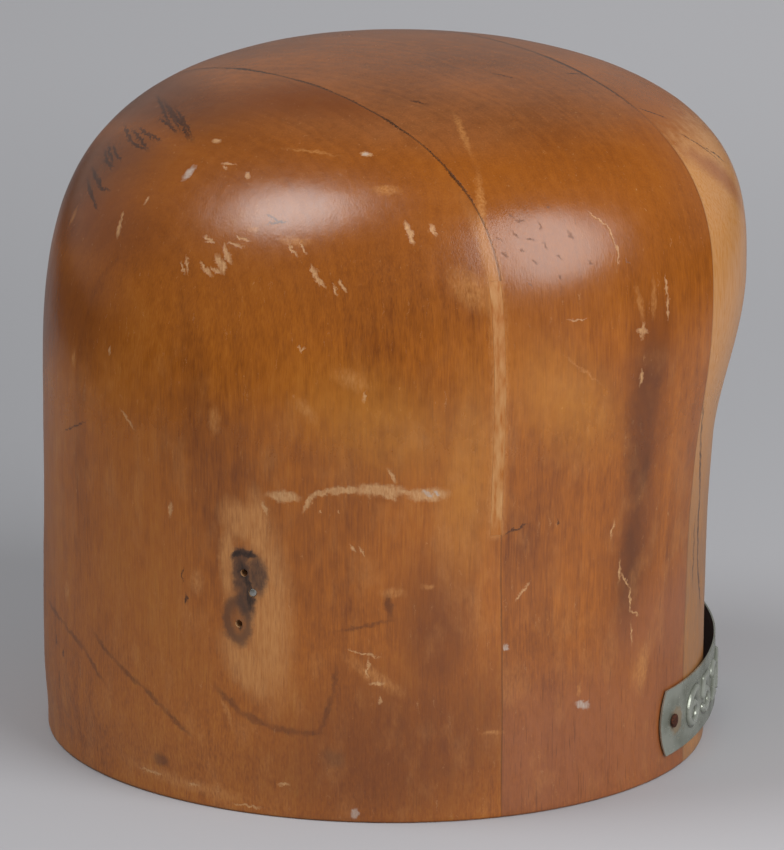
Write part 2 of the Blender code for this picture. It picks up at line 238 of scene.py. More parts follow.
class FinishColours(bpy.types.PropertyGroup):
    """Colours of the finishes."""

    # The dark grain colour is also the colour of the painted shade clouds
    dark_grain_and_shade: tint("Shellac, dark grain", "7A3E0E", "Dark streaks in the grain under the shellac")
    dome_grain: tint("Shellac, dome", "88480F", "The darker amber of the dome")
    # Also the colour of the painted shade down the middle plank
    deep_grain_and_shade: tint("Shellac, knots", "68360F", "Small dark knots and bruises")
    grain_amber: tint("Shellac, amber", "AC6012", "The usual amber of the block")
    grain_light: tint("Shellac, light grain", "C07A26", "Light streaks in the grain")
    crown_dark: tint("Crown, dark", "784622", "Dark rings in the end grain of the crown")
    crown_brown: tint("Crown", "A2602E", "End grain of the crown, which drinks the finish")
    reddened: tint("Reddened wood", "9C5C36", "Wood gone reddish and dull low on the right")
    bare_wood: tint("Bare wood", "D2A06A", "Fresh wood in scrapes and chips")
    thin_finish: tint("Thin finish", "CA8A4A", "Wood where the shellac is rubbed thin")
    sapwood: tint("Sapwood", "CA925A", "The pale outer wood along the back joint")
    sapwood_low: tint("Sapwood, low", "9E7048", "The same wood low down, greyed by handling")
    burn: tint("Burn", "2A180E", "The darkest of the iron stain and scorching")
    burn_pale: tint("Burn, pale", "523624", "Scorched wood inside the stain")
    scuff: tint("Scuffs", "30180C", "Thin dark scratches in the finish")
    grime: tint("Grime", "2A180C", "Old dirt in the joints and scuffs")
    putty: tint("Putty", "BE8044", "The putty strip")
    grey_spot: tint("Grey spots", "BCAA9C", "Old paint and plaster splashes")
    sawn_wood: tint("Sawn wood", "B58A5E", "Unfinished wood in the joints and under the base")
    tin: tint("Tin", "B0B4A8", "Dull tinplate")
    # Also a painted highlight on the raised digits
    tin_rubbed_and_highlit: tint("Tin, rubbed", "CCD0C6", "Tin rubbed bright on the raised digits")
    # Also painted shade round the raised digits
    tin_dirt_and_shade: tint("Tin, dirt", "5C5E54", "Dirt round the raised digits")
    tarnish: tint("Tarnish", "8A8E80", "Tarnish on the tin")
    rust_tan: tint("Rust stain", "A4896A", "Tan stain of rust on the tin")
    rust: tint("Rust", "6A3820", "Rust on the tack and round it")
    # Also painted shade on the inner face of the plate
    dark_rust_and_shade: tint("Old rust", "2E1A12", "The darkest rust")
    steel: tint("Steel", "DEDCD6", "Bright steel of the brad")
    beech: tint("Beech", "C99F73", "The hidden dowels")


class StageLooks(bpy.types.PropertyGroup):
    """Floor, lamps and camera."""

    floor_colour: tint("Floor", "A6A7AB", "Grey of the paper at mid distance")
    # The paler grey is painted light on the paper
    floor_light: tint("Floor, light", "D2D2D6", "Grey of the paper far behind and near on the right")
    studio_dark: tint("Studio", "303030", "The dark studio that gloss mirrors past the paper")
    room_colour: tint("Room", "FFFFFF", "Colour of the light from all round")
    right_power: FloatProperty(
        name="Right softbox", default=17.5, min=0.0, unit="POWER", description="Power of the right softbox"
    )
    left_power: FloatProperty(
        name="Left softbox", default=8.2, min=0.0, unit="POWER", description="Power of the left softbox"
    )
    room_strength: FloatProperty(
        name="Room strength", default=0.44, min=0.0, description="Strength of the light from all round"
    )
    camera_distance: size("Camera distance", 2.5, "From the middle of the picture to the camera")


def ease(share):
    """Runs from 0 to 1 with a level start and a level end."""
    share = min(max(share, 0.0), 1.0)
    return share * share * (3.0 - 2.0 * share)


def wall(height, base, waist, bulge, waist_height, bulge_height):
    """Distance of the wall from the axis below the dome."""
    if height < waist_height:
        return base + (waist - base) * ease(height / waist_height)
    return waist + (bulge - waist) * ease((height - waist_height) / (bulge_height - waist_height))


def dome(height, bulge_height):
    """What is left of the bulge's reach at a height in the dome, from 1 down to 0 at the top."""
    rise = (height - bulge_height) / (BLOCK_HEIGHT - bulge_height)
    rise = min(max(rise, 0.0), 1.0)
    return (1.0 - rise**DOME_RISE_POWER) ** (1.0 / DOME_WIDTH_POWER)


@functools.lru_cache(maxsize=None)
def section(height):
    """Half width, middle, and half depths to the front and back of the level section at a height."""
    form = bpy.context.scene.hat_block_form
    sides = (form.side_base, form.side_waist, form.side_bulge)
    fronts = (form.front_base, form.front_waist, form.front_bulge)
    backs = (form.back_base, form.back_waist, form.back_bulge)
    side = wall(height, *sides, SIDE_WAIST_HEIGHT, SIDE_BULGE_HEIGHT)
    front = wall(height, *fronts, FRONT_WAIST_HEIGHT, FRONT_BULGE_HEIGHT)
    back = wall(height, *backs, BACK_WAIST_HEIGHT, BACK_BULGE_HEIGHT)
    crown = form.crown_setback
    middle = crown * ease((height - SETBACK_START) / (SETBACK_END - SETBACK_START))
    side *= dome(height, SIDE_BULGE_HEIGHT)
    front = (front + crown) * dome(height, FRONT_BULGE_HEIGHT) - crown + middle
    back = (back - crown) * dome(height, BACK_BULGE_HEIGHT) + crown - middle
    return side, middle, front, back


def on_section(turn, height, inset=0.0):
    """A point of the level section, with turn 0 at the right side and a quarter turn at the back."""
    side, middle, front, back = section(height)
    across, along = math.cos(turn), math.sin(turn)
    half_depth = back if along > 0.0 else front
    return Vector(((side - inset) * across, middle + (half_depth - inset) * along, height))


@functools.lru_cache(maxsize=None)
def on_wall(angle, height):
    """The wall's point at an angle round the axis, from the back towards the right, and its level normal."""
    aim_x, aim_y = math.sin(angle), math.cos(angle)
    near = math.atan2(aim_y, aim_x)
    low, high = near - SEARCH_WIDTH, near + SEARCH_WIDTH
    for _ in range(SEARCH_HALVINGS):
        turn = (low + high) / 2.0
        point = on_section(turn, height)
        if aim_x * point.y > aim_y * point.x:
            high = turn
        else:
            low = turn
    along = on_section(turn + SMALL_STEP, height) - on_section(turn - SMALL_STEP, height)
    return point, Vector((along.y, -along.x, 0.0)).normalized()


def side_wall(along, height):
    """How far to the right the wall lies at a distance along the head from the axis and at a height."""
    side, middle, front, back = section(height)
    half_depth = back if along > middle else front
    return side * math.sqrt(1.0 - ((along - middle) / half_depth) ** 2)


def form_places(form):
    """Heights and insets of the form's level rings, with a rounded edge at the base."""
    round_steps = 4
    for step in range(round_steps):
        angle = step / round_steps * math.pi / 2.0
        yield form.base_rounding * (1.0 - math.cos(angle)), form.base_rounding * (1.0 - math.sin(angle))
    low, shoulder = form.base_rounding, FRONT_BULGE_HEIGHT
    for row in range(form.wall_rows):
        yield low + (shoulder - low) * row / form.wall_rows, 0.0
    for row in range(form.dome_rows * 2):
        angle = row / (form.dome_rows * 2) * math.pi / 2.0
        rise = math.sin(angle) ** (2.0 / DOME_RISE_POWER)
        even = row / (form.dome_rows * 2)
        share = even + (rise - even) * ease(even * 2.0)
        yield shoulder + (BLOCK_HEIGHT - shoulder) * share, 0.0


def form_mesh():
    """The whole head form as one closed bmesh: a flat grid is wrapped round the form from foot to crown."""
    form = bpy.context.scene.hat_block_form
    places = list(form_places(form))
    rows = len(places) + 1
    mesh = bmesh.new()
    bmesh.ops.create_grid(mesh, x_segments=form.columns, y_segments=rows, size=0.5)
    loose = []
    for vert in mesh.verts:
        turn = vert.co.x * 2.0 * math.pi
        row = round((vert.co.y + 0.5) * rows)
        if row in (0, rows):
            top = row == rows
            vert.co = (0.0, form.crown_setback if top else 0.0, BLOCK_HEIGHT if top else 0.0)
            loose.append(vert)
        else:
            if abs(turn) > math.pi - SEAM_TURN:
                loose.append(vert)
            vert.co = on_section(turn, *places[row - 1])
    bmesh.ops.remove_doubles(mesh, verts=loose, dist=MERGE_DISTANCE)
    bmesh.ops.recalc_face_normals(mesh, faces=mesh.faces)
    mesh.normal_update()
    dips = [(vert, vert.normal.copy(), dip_at(vert.co, form)) for vert in mesh.verts]
    for vert, outward, dip in dips:
        vert.co -= outward * dip
    return mesh


def dip_at(place, form):
    """How deep the surface dips at a place: soft waves from the rasp, levelled out at the foot."""
    wave = noise.noise(place / form.wave_width) + 0.4 * noise.noise(place * 2.7 / form.wave_width)
    depth = form.waviness * min(max(0.5 + 0.5 * wave, 0.0), 1.0)
    level_foot = 0.006
    return depth * ease((place.z - form.base_rounding) / level_foot)


def saw(mesh, point, removed_side):
    """Cuts a closed bmesh by a plane, takes away the side its normal points to and closes the cut."""
    everything = mesh.verts[:] + mesh.edges[:] + mesh.faces[:]
    cut = bmesh.ops.bisect_plane(
        mesh, geom=everything, dist=MERGE_DISTANCE, plane_co=point, plane_no=removed_side, clear_outer=True
    )
    rim = [item for item in cut["geom_cut"] if isinstance(item, bmesh.types.BMEdge)]
    faces = bmesh.ops.edgeloop_fill(mesh, edges=rim, mat_nr=1)["faces"]
    for face in faces:
        face.material_index = 1


def object_from(name, mesh, materials):
    """Turns a bmesh in axis coordinates into a named object in the frame."""
    bmesh.ops.translate(mesh, vec=(0.0, AXIS_Y, 0.0), verts=mesh.verts)
    data = bpy.data.meshes.new(name)
    mesh.to_mesh(data)
    mesh.free()
    for material in materials:
        data.materials.append(material)
    data.shade_smooth()
    data.set_sharp_from_angle(angle=SMOOTH_ANGLE)
    made = bpy.data.objects.new(name, data)
    bpy.context.scene.collection.objects.link(made)
    return made


def dress(made, node):
    """Lets a finished piece stand for its CAD node."""
    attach(made, "root")
    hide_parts(node)


def cut_out(made, cutters):
    """Takes a bmesh of closed cutters out of a finished object, for good."""
    tool = object_from(f"{made.name}_cutter", cutters, list(made.data.materials))
    for face in tool.data.polygons:
        face.material_index = min(1, len(made.data.materials) - 1)
    modifier = made.modifiers.new("bores", "BOOLEAN")
    modifier.operation = "DIFFERENCE"
    modifier.solver = "EXACT"
    modifier.object = tool
    seen = bpy.context.evaluated_depsgraph_get()
    whole = made.data
    made.data = bpy.data.meshes.new_from_object(made.evaluated_get(seen))
    made.modifiers.clear()
    made.data.set_sharp_from_angle(angle=SMOOTH_ANGLE)
    bpy.data.meshes.remove(whole)
    bpy.data.meshes.remove(tool.data)


def bore(cutters, start, direction, diameter, depth, sides):
    """Adds a round cutter that runs from a point along a direction."""
    radius = diameter / 2.0
    middle = standing(start + direction * depth / 2.0, direction)
    bmesh.ops.create_cone(
        cutters, cap_ends=True, segments=sides, radius1=radius, radius2=radius, depth=depth, matrix=middle
    )


def standing(place, direction):
    """The matrix that moves a shape to a place, with its +Z along a direction."""
    return Matrix.Translation(place) @ direction.to_track_quat("Z", "Y").to_matrix().to_4x4()


def bore_wall(cutters, angle, height, diameter, depth):
    """Adds a cutter square to the wall at an angle and a height."""
    point, normal = on_wall(angle, height)
    bore(cutters, point + normal * PAST_THE_FACE, -normal, diameter, depth + PAST_THE_FACE, SMALL_SIDES)


def plank_cutters(name):
    """Everything that is bored or let into a plank, as closed cutters."""
    trim = bpy.context.scene.hat_block_trim
    cutters = bmesh.new()
    for joint, place in (("front", FRONT_JOINT), ("back", BACK_JOINT)):
        if joint in name or name == "middle_plank":
            for side in ("left", "right"):
                low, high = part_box(f"{joint}_dowel_{side}")
                x, z = (low.x + high.x) / 2.0, (low.z + high.z) / 2.0
                start = Vector((x, place - DOWEL_LENGTH / 2.0 - CLEARANCE, z))
                depth = DOWEL_LENGTH + 2.0 * CLEARANCE
                bore(cutters, start, TOWARDS_BACK, DOWEL_DIAMETER + 2.0 * CLEARANCE, depth, DOWEL_SIDES)
    if name == "front_plank":
        bore_wall(cutters, BRAD_ANGLE, BRAD_HEIGHT, trim.brad_head + CLEARANCE, BRAD_LENGTH + OVERRUN)
        for angle, height in NAIL_HOLES:
            bore_wall(cutters, angle, height, HOLE_DIAMETER, HOLE_DEPTH)
        low, high = filler_box(HAIRLINE / 3.0)
        high.x = 2.0 * SIDE_BULGE
        high.y = 0.0
        add_box(cutters, low, high)
    if name == "middle_plank":
        start = Vector((0.0, SOCKET_Y, -OVERRUN))
        bore(cutters, start, UP, SOCKET_DIAMETER, SOCKET_DEPTH + OVERRUN, SOCKET_SIDES)
        point, normal = plate_place(TACK_INSET)
        hole = trim.tack_shank + CLEARANCE
        bore(cutters, point + normal * OVERRUN, -normal, hole, TACK_LENGTH + OVERRUN, SMALL_SIDES)
    if name == "back_plank":
        angle = PLATE_START_ANGLE - (trim.plate_length - TACK_INSET) / WALL_BEHIND_PLATE
        bore_wall(cutters, angle, PLATE_LOW_EDGE + PLATE_HEIGHT / 2.0, trim.tack_shank, TACK_LENGTH)
    return cutters


def add_box(cutters, low, high):
    """Adds a box between two corners."""
    shape = Matrix.Translation((low + high) / 2.0) @ Matrix.Diagonal((*(high - low), 1.0))
    bmesh.ops.create_cube(cutters, size=1.0, matrix=shape)


def filler_box(room):
    """Corners of the rebate for the putty, with some room round it."""
    trim = bpy.context.scene.hat_block_trim
    edge = FRONT_JOINT - JOINT_GAP / 2.0
    floor = min(side_wall(edge, trim.filler_low), side_wall(edge, trim.filler_high)) - trim.filler_depth
    low = Vector((floor - room, edge - trim.filler_width - room, trim.filler_low - room))
    high = Vector((0.1, FRONT_JOINT + JOINT_GAP / 2.0 - HAIRLINE, trim.filler_high + room))
    return low, high


def plate_point(run, height):
    """The point of the plate's inner face at a distance from its tacked end and at a height."""
    trim = bpy.context.scene.hat_block_trim
    start, _ = on_wall(PLATE_START_ANGLE, height)
    seated = min(run, trim.seated_length)
    point, normal = on_wall(PLATE_START_ANGLE - seated / start.xy.length, height)
    point = point + normal * CLEARANCE
    if run > trim.seated_length:
        bend = (run - trim.seated_length) / trim.sprung_radius
        centre = point - normal * trim.sprung_radius
        point = centre + Matrix.Rotation(bend, 3, "Z") @ normal * trim.sprung_radius
    return point


def plate_place(run):
    """The plate's inner face at a distance from its tacked end, half way up, and its outward normal there."""
    middle = PLATE_LOW_EDGE + PLATE_HEIGHT / 2.0
    along = plate_point(run + SMALL_STEP, middle) - plate_point(run - SMALL_STEP, middle)
    up = plate_point(run, middle + SMALL_STEP) - plate_point(run, middle - SMALL_STEP)
    return plate_point(run, middle), along.cross(up).normalized()


def node(tree, kind, *values, output=0, links=None, stops=None, **settings):
    """Adds a shader node with its settings and links, and gives back one of its outputs.

    Values fill the inputs in order, and links gives values or sockets to inputs by name or number.
    """
    made = tree.nodes.new(f"ShaderNode{kind}")
    for name, value in settings.items():
        setattr(made, name, value)
    for place, value in [*enumerate(values), *(links or {}).items()]:
        if isinstance(value, bpy.types.NodeSocket):
            tree.links.new(value, made.inputs[place])
        else:
            made.inputs[place].default_value = value
    if stops:
        ramp = made.color_ramp
        while len(ramp.elements) < len(stops):
            ramp.elements.new(1.0)
        for element, (position, value) in zip(ramp.elements, stops):
            element.position = position
            element.color = value
    return made.outputs[output]


def finish(name, base):
    """A new material and its node tree, with plain values set on the shader's own sockets."""
    material = bpy.data.materials.new(name)
    material.use_nodes = True
    for place, value in base.items():
        material.node_tree.nodes["Principled BSDF"].inputs[place].default_value = value
    return material, material.node_tree


def surface(material, colour, gloss=None, relief=None, strength=1.0, depth=1.0):
    """Links a colour, a roughness and a relief to a material's shader. The depth is in millimetres."""
    tree = material.node_tree
    inputs = tree.nodes["Principled BSDF"].inputs
    tree.links.new(colour, inputs["Base Color"])
    if gloss:
        tree.links.new(gloss, inputs["Roughness"])
    if relief:
        bump = node(tree, "Bump", links={"Strength": strength, "Distance": depth / MM, "Height": relief})
        tree.links.new(bump, inputs["Normal"])
    return material


def axis_place(tree):
    """Millimetres from the foot of the form's axis."""
    here = node(tree, "TexCoord", output="Object")
    return node(tree, "Mapping", here, (0.0, -AXIS_Y * MM, 0.0), links={"Scale": (MM, MM, MM)})


def streaks(tree, place, across, along, detail=3.0, seed=(0.0, 0.0, 0.0)):
    """Noise drawn out along Z: across and along are the width and length of its streaks."""
    stretch = {"Scale": (1.0 / across, 1.0 / across, 1.0 / along)}
    rough = {"Scale": 1.0, "Detail": detail, "Roughness": 0.55}
    stretched = node(tree, "Mapping", place, seed, links=stretch)
    return node(tree, "TexNoise", stretched, links=rough, output="Fac")


def eased(tree, value, *ends):
    """Maps a value from one range to another, with a level start and a level end."""
    return node(tree, "MapRange", value, *ends, interpolation_type="SMOOTHSTEP")


def layered(tree, colour, *layers):
    """A colour with others laid over it in turn, each by its share."""
    for share, over in layers:
        colour = node(tree, "Mix", share, links={6: colour, 7: over}, output=2, data_type="RGBA")
    return colour


def product(tree, first, *others):
    """The product of some shares."""
    for other in others:
        first = node(tree, "Math", first, other, operation="MULTIPLY")
    return first


def summed(tree, total, *parts):
    """A value with others added to it in turn, each times its weight."""
    for part, weight in parts:
        total = node(tree, "Math", part, weight, total, operation="MULTIPLY_ADD")
    return total


def greatest(tree, first, *others):
    """The greatest of some shares."""
    for other in others:
        first = node(tree, "Math", first, other, operation="MAXIMUM")
    return first


def mark_place(turn, height):
    """Millimetres from the foot of the axis, at a turn in degrees and a height in millimetres."""
    return on_section(math.radians(turn), min(height / MM, BLOCK_HEIGHT)) * MM


def stroke_frame(turn, height, end_turn, end_height, width):
    """A stroke's middle, and the directions along and across it, each over its half size."""
    start, end = mark_place(turn, height), mark_place(end_turn, end_height)
    aside = mark_place(turn - 1.0, height) - mark_place(turn + 1.0, height)
    rise = mark_place(turn, height + 1.0) - mark_place(turn, height - 1.0)
    outward = rise.cross(aside).normalized()
    along = end - start if (end - start).length > 0.01 else rise
    along = (along - outward * along.dot(outward)).normalized()
    across = outward.cross(along)
    half_length = ((end - start).length + width) / 2.0
    return (start + end) / 2.0, along / half_length, across * 2.0 / width


def nearness(tree, lanes, strokes, reach):
    """Distance from the nearest of some strokes, 1 at a stroke's edge.

    Three strokes are worked out at once, one in each part of a vector.
    """
    low, high = reach
    frames = [one for one in (stroke_frame(*stroke) for stroke in strokes) if low < one[0].y < high]
    nearest = (FAR_OFF, FAR_OFF, FAR_OFF)
    for first in range(0, len(frames), 3):
        three = frames[first:first + 3]
        squares = None
        for axis in (1, 2):
            away = tuple([-one[axis].dot(one[0]) for one in three] + [FAR_OFF] * (3 - len(three)))
            for part, lane in enumerate(lanes):
                slopes = tuple([one[axis][part] for one in three] + [0.0] * (3 - len(three)))
                away = node(tree, "VectorMath", lane, slopes, away, operation="MULTIPLY_ADD")
            start = squares or (0.0, 0.0, 0.0)
            squares = node(tree, "VectorMath", away, away, start, operation="MULTIPLY_ADD")
        nearest = node(tree, "VectorMath", nearest, squares, operation="MINIMUM")
    parts = node(tree, "SeparateXYZ", nearest).node.outputs
    least = node(tree, "Math", parts[0], parts[1], operation="MINIMUM")
    least = node(tree, "Math", least, parts[2], operation="MINIMUM")
    return node(tree, "Math", least, 0.5, operation="POWER")


# Strokes are given as turn and height at each end, then width: degrees and millimetres

CHIPS = (
    (-87.6, 169.5, -86.4, 169.5, 1.3), (-80.2, 166, -77.4, 166.2, 0.8), (-79.6, 165.4, -78.2, 165.2, 0.6),
    (-73.3, 165, -72.5, 164.4, 1.3), (-91, 154.5, -91, 155.5, 1.0), (-95.2, 150.6, -94.6, 148.4, 0.8),
    (-94.8, 148.6, -93.6, 145.6, 1.5), (-51.6, 171.5, -49.8, 171.3, 1.6), (-74.4, 150.8, -72.6, 149.8, 0.9),
    (-73.6, 149.4, -72.2, 149.8, 0.7), (-68.4, 151.9, -66, 151.3, 0.6), (-69.4, 150.2, -66.8, 149.8, 0.8),
    (-70, 149.4, -69, 147.6, 1.3), (-69.4, 148.2, -68, 146.2, 1.6), (-70.6, 146.6, -69, 144, 1.8),
    (-69.2, 145.6, -68.4, 143.6, 1.5), (-72.6, 143.2, -70.6, 142.2, 1.2), (-71, 143.6, -69, 143.2, 1.0),
    (-73.2, 144.6, -72, 142.6, 0.8), (-76.4, 145.2, -75, 141.5, 0.8), (-77, 143.6, -75.6, 141.2, 0.6),
    (-54, 147, -53, 144.6, 1.0), (-53.2, 146, -52, 143.2, 1.2), (-52.6, 144.6, -51, 142.6, 0.8),
    (-48.8, 144, -47.6, 141.8, 0.9), (-49.6, 142.8, -48.8, 140.8, 0.7), (-58.6, 151.4, -56.8, 149, 0.6),
    (-57, 152.2, -55.4, 150.2, 0.6), (-39.8, 157.6, -38.8, 155.4, 1.6), (-39, 156, -38.2, 153.6, 1.3),
    (-35.4, 157.4, -34.6, 155.3, 1.0), (-88.6, 118, -88.6, 116.8, 0.9), (-85, 102.7, -82, 98.6, 0.7),
    (-73.8, 80.6, -73.8, 78, 1.5), (-42.3, 115.7, -42.3, 113.7, 0.8), (-53.2, 126.8, -52.8, 125.8, 0.7),
    (-52.8, 125.8, -52.3, 126.8, 0.7), (-40.7, 74.6, -39.7, 72.5, 0.6), (-42.2, 75, -41.2, 73, 0.5),
    (1.6, 128.4, 1.6, 124.8, 1.2), (0.6, 127, 2.6, 126.2, 1.1), (2.5, 116, 2.5, 112.4, 1.0),
    (3.4, 75.5, 3.4, 71, 0.7), (6.8, 63.8, 7.2, 59, 1.0), (-11.8, 132.4, -9, 132.4, 0.6),
    (7, 139.6, 7.4, 134, 0.8), (7.4, 134, 7.7, 128.6, 0.8), (-6.5, 158, -3.8, 154.7, 0.6),
    (-3.8, 154.7, -3, 150.4, 0.6), (-3, 150.4, -3.1, 145.6, 0.6), (-81.8, 6, -76.8, 6, 0.9),
    (-70.8, 5.4, -69, 5.4, 0.8), (-53.6, 9.3, -52, 9.3, 0.9), (-62.2, 2.1, -57, 2.1, 0.7),
    (-38.2, 45.2, -38.2, 40, 0.6), (-41.8, 47.2, -36.4, 45.2, 0.5), (-37.8, 38.1, -35.4, 38.1, 0.8),
    (-36, 34.3, -36, 32.3, 0.7), (-13.9, 58.4, -11.8, 62.7, 0.6), (7.4, 60.8, 10.3, 56, 0.7),
    (10.3, 56, 11.3, 49.4, 0.6), (11.3, 49.4, 13.4, 47.7, 0.7), (11.8, 46, 12.6, 40, 0.6),
)

SCRAPE = (
    (-55.6, 87.1, -51.6, 87.1, 3.2), (-50, 83.6, -49, 87.7, 1.5), (-49, 87.7, -46, 89.2, 1.9),
    (-46, 89.2, -41.6, 90.1, 2.4), (-41.6, 90.1, -35.2, 89.6, 3.8), (-38, 89.6, -36.2, 87.8, 2.4),
    (-35.2, 89.6, -33.6, 88.9, 1.4), (-33, 88.5, -28.6, 88.5, 4.0), (-37.2, 95, -36.2, 92.6, 1.6),
    (-57, 84.8, -56.2, 82.6, 1.2), (-47.3, 83.6, -47.3, 83.6, 0.7), (-44.4, 83.6, -44.4, 83.6, 0.7),
)

GREY_SPOTS = (
    (-86, 163.4, -86, 161.8, 2.6), (-31.4, 89.4, -30.6, 88.3, 1.4), (-29.8, 89.2, -29.2, 88.4, 1.0),
    (-14.8, 46.6, -14.6, 46, 1.4), (0.6, 27.6, 2.6, 26.6, 2.2), (-51, 171.4, -50.4, 171.4, 1.3),
    (-40.6, 2.6, -40.6, 2.2, 2.4),
)

RUBBED = (
    (-112, 145, -112, 143, 3.0), (-46, 164.8, -43, 164.8, 3.6), (-69, 170.7, -57, 170.7, 1.3),
    (-60, 152.5, -56, 152.5, 2.8), (-66.6, 154, -65.4, 154, 2.0), (-29.5, 144, -26.5, 140, 9.0),
    (-99.5, 113.3, -99.5, 109.7, 2.6), (-66, 107.6, -66, 103.2, 3.6), (-46, 120, -43, 118, 5.0),
    (-52, 112, -50, 109, 4.0), (4, 139, 4, 130, 1.8), (0, 138, 1.4, 130, 2.2), (-26.6, 168, -26.4, 152, 2.4),
    (-28.6, 178, -27.4, 172, 2.0), (-12.3, 123.2, -5, 114, 0.7), (-103.6, 48, -103.6, 45, 3.4),
    (-68.5, 62.5, -68.5, 60, 4.6), (-63.6, 31, -61.6, 23, 1.3), (-36, 62.3, -33.4, 62.3, 2.8),
    (-29.7, 63.8, -28.3, 63.8, 1.6), (-41, 44, -33, 36, 4.0), (-84, 7, -60, 4, 4.0),
    (-18, 23.5, -14.5, 23.5, 1.4), (0.6, 33, 0.6, 30.6, 1.4), (16.3, 36, 15.6, 28, 6.0),
    (33, 5.6, 42, 2.6, 3.6),
)

SCUFFS = (
    (-126.7, 170.2, -102.5, 168.7, 0.9), (-120.8, 170.8, -99.5, 169, 0.8), (-116.1, 171, -94.1, 168.5, 0.9),
    (-111, 171.4, -94.2, 168.9, 0.8), (-110.7, 169, -99.9, 168.5, 0.8), (-104.2, 170.6, -94.9, 168.3, 0.8),
    (-119.8, 164.3, -108.7, 163.2, 0.9), (-114.3, 165, -102.6, 164, 1.0), (-112.7, 166, -103.9, 165.6, 0.8),
    (-108.5, 166.2, -101.5, 166.2, 0.8), (-111.7, 163.3, -102.6, 163.6, 0.8),
    (-118.3, 160.2, -109.5, 158.5, 0.9), (-117.4, 158.9, -108.4, 157.4, 0.9),
    (-115.1, 160.7, -107.3, 159.7, 0.8), (-113.8, 157.6, -107.9, 158, 0.8), (-116, 154.8, -108.4, 153.4, 0.9),
    (-115, 152.6, -106.2, 150.1, 0.9), (-111, 154.5, -105.2, 153, 0.8), (-110.9, 151, -103.6, 149, 0.9),
    (-107.9, 153, -103.5, 153.5, 0.8), (-64.5, 157.2, -62, 156.2, 0.7), (-63.6, 155.6, -60.8, 156.4, 0.6),
    (-42.4, 179.8, -37, 179.5, 0.7), (9.5, 182, 12.8, 181.5, 0.7), (42, 180, 45, 179.4, 0.9),
    (60, 174.6, 62, 173.4, 0.9), (-103, 90.5, -95, 96, 0.5), (-17.2, 76.7, -13.7, 78.8, 0.6),
    (-8.4, 78.6, -8.4, 78, 0.7), (-109.5, 31.4, -109.5, 29.8, 0.9), (-105.7, 29.2, -105.7, 27.6, 0.9),
    (-108.2, 21.6, -108.2, 18, 0.9), (-71.3, 64, -71.3, 60.6, 0.6), (-70.7, 57.6, -70.7, 54.8, 0.6),
    (26, 100, 30, 88, 1.0), (30, 89, 35, 71, 1.4), (34.6, 73, 37, 54, 1.5), (36.4, 56, 41, 40, 1.4),
    (33, 66, 34.4, 48, 0.8), (34, 168, 40, 160, 0.6), (38, 164, 44, 158, 0.6), (33, 174, 37, 171, 0.6),
)

# Small dents with no shine, in the brightest part of the dome
FLECKS = (
    (-21.9, 159.7, -21.3, 158.7, 0.5), (-20.4, 157.9, -19.6, 157.9, 0.45), (-21.4, 155.4, -20.8, 154.4, 0.6),
    (-24, 153.9, -23.3, 153.6, 0.45), (-16.7, 157.3, -16.3, 156, 0.5), (-14.7, 160.2, -14, 160.6, 0.45),
    (-18.8, 153.6, -18.1, 153.2, 0.6), (-23.2, 150.8, -22.6, 149.8, 0.5), (-20.2, 151.6, -19.7, 150.8, 0.5),
    (-16.2, 152.6, -15.8, 151.4, 0.45), (-13.9, 148.7, -13.2, 148.4, 0.5), (-11.5, 154.4, -11.1, 153.2, 0.45),
    (-18.1, 148.6, -17.6, 147.7, 0.5), (-8.6, 147.1, -8, 146.4, 0.5), (-10, 157.2, -9.8, 156.2, 0.4),
    (-13.8, 144.2, -13.5, 143.1, 0.45), (-18.9, 143, -18.5, 142, 0.45), (-1.5, 145.8, -1.2, 144.8, 0.45),
)

# Dirt rubbed in round the scuffs
SMUDGES = (
    (-118, 170.6, -96, 168.8, 9.0), (-116, 165, -104, 164.6, 7.0), (-116, 159.6, -109, 158.4, 6.0),
    (-113, 154, -106, 151, 6.0),
)

# Growth rings and old cuts that show as thin dark curves
CURVES = (
    (-115, 38.7, -105, 36.7, 1.5), (-105, 36.7, -96.7, 33.2, 1.5), (-96.7, 33.2, -91, 27.1, 1.5),
    (-93.2, 38.9, -87.2, 33.5, 1.5), (-87.2, 33.5, -80.2, 29, 1.5), (-80.2, 29, -75.5, 24.9, 1.5),
    (-75.5, 24.9, -70.4, 19.4, 1.5), (-64.3, 32.9, -60.2, 27.8, 1.7), (-60.2, 27.8, -54.7, 24.7, 1.8),
    (-54.7, 24.7, -49.5, 23.9, 1.8), (-49.5, 23.9, -46, 24.2, 1.8), (-46, 24.2, -43.9, 34.7, 1.7),
    (-43.9, 34.7, -43.5, 42, 1.5), (-43.2, 51.9, -34.6, 55, 1.1),
)

STAIN = (
    (-61.5, 69.6, -60.7, 71, 2.2), (-60.7, 71, -58.2, 70.6, 2.2), (-60, 68.6, -60, 62, 5.6),
    (-57.4, 67.6, -57.1, 62.5, 5.0), (-59.2, 62, -59.1, 56.4, 5.0),
)

STAIN_LOBE = (
    (-60.9, 54.4, -60.6, 50.2, 7.4),
)

STAIN_CORES = (
    (-61.4, 69.8, -60.5, 71, 2.0), (-60.5, 71, -58.4, 70.4, 1.8), (-60, 67, -59.4, 64.4, 2.6),
    (-59.4, 64.4, -58.4, 61.2, 1.6), (-60.4, 51.8, -60.4, 50.8, 1.4), (-58.8, 60.4, -58.2, 57, 2.2),
)

HALO = (
    (-61.6, 80.5, -59.8, 78, 9.0), (-58, 84, -57, 72, 7.0), (-56.4, 72, -54.8, 40, 13.0),
    (-62.6, 76, -62.4, 60, 5.0), (-60.6, 44, -57, 37, 11.0),
)

# Large soft clouds that darken or redden the wood, some of them painted shade

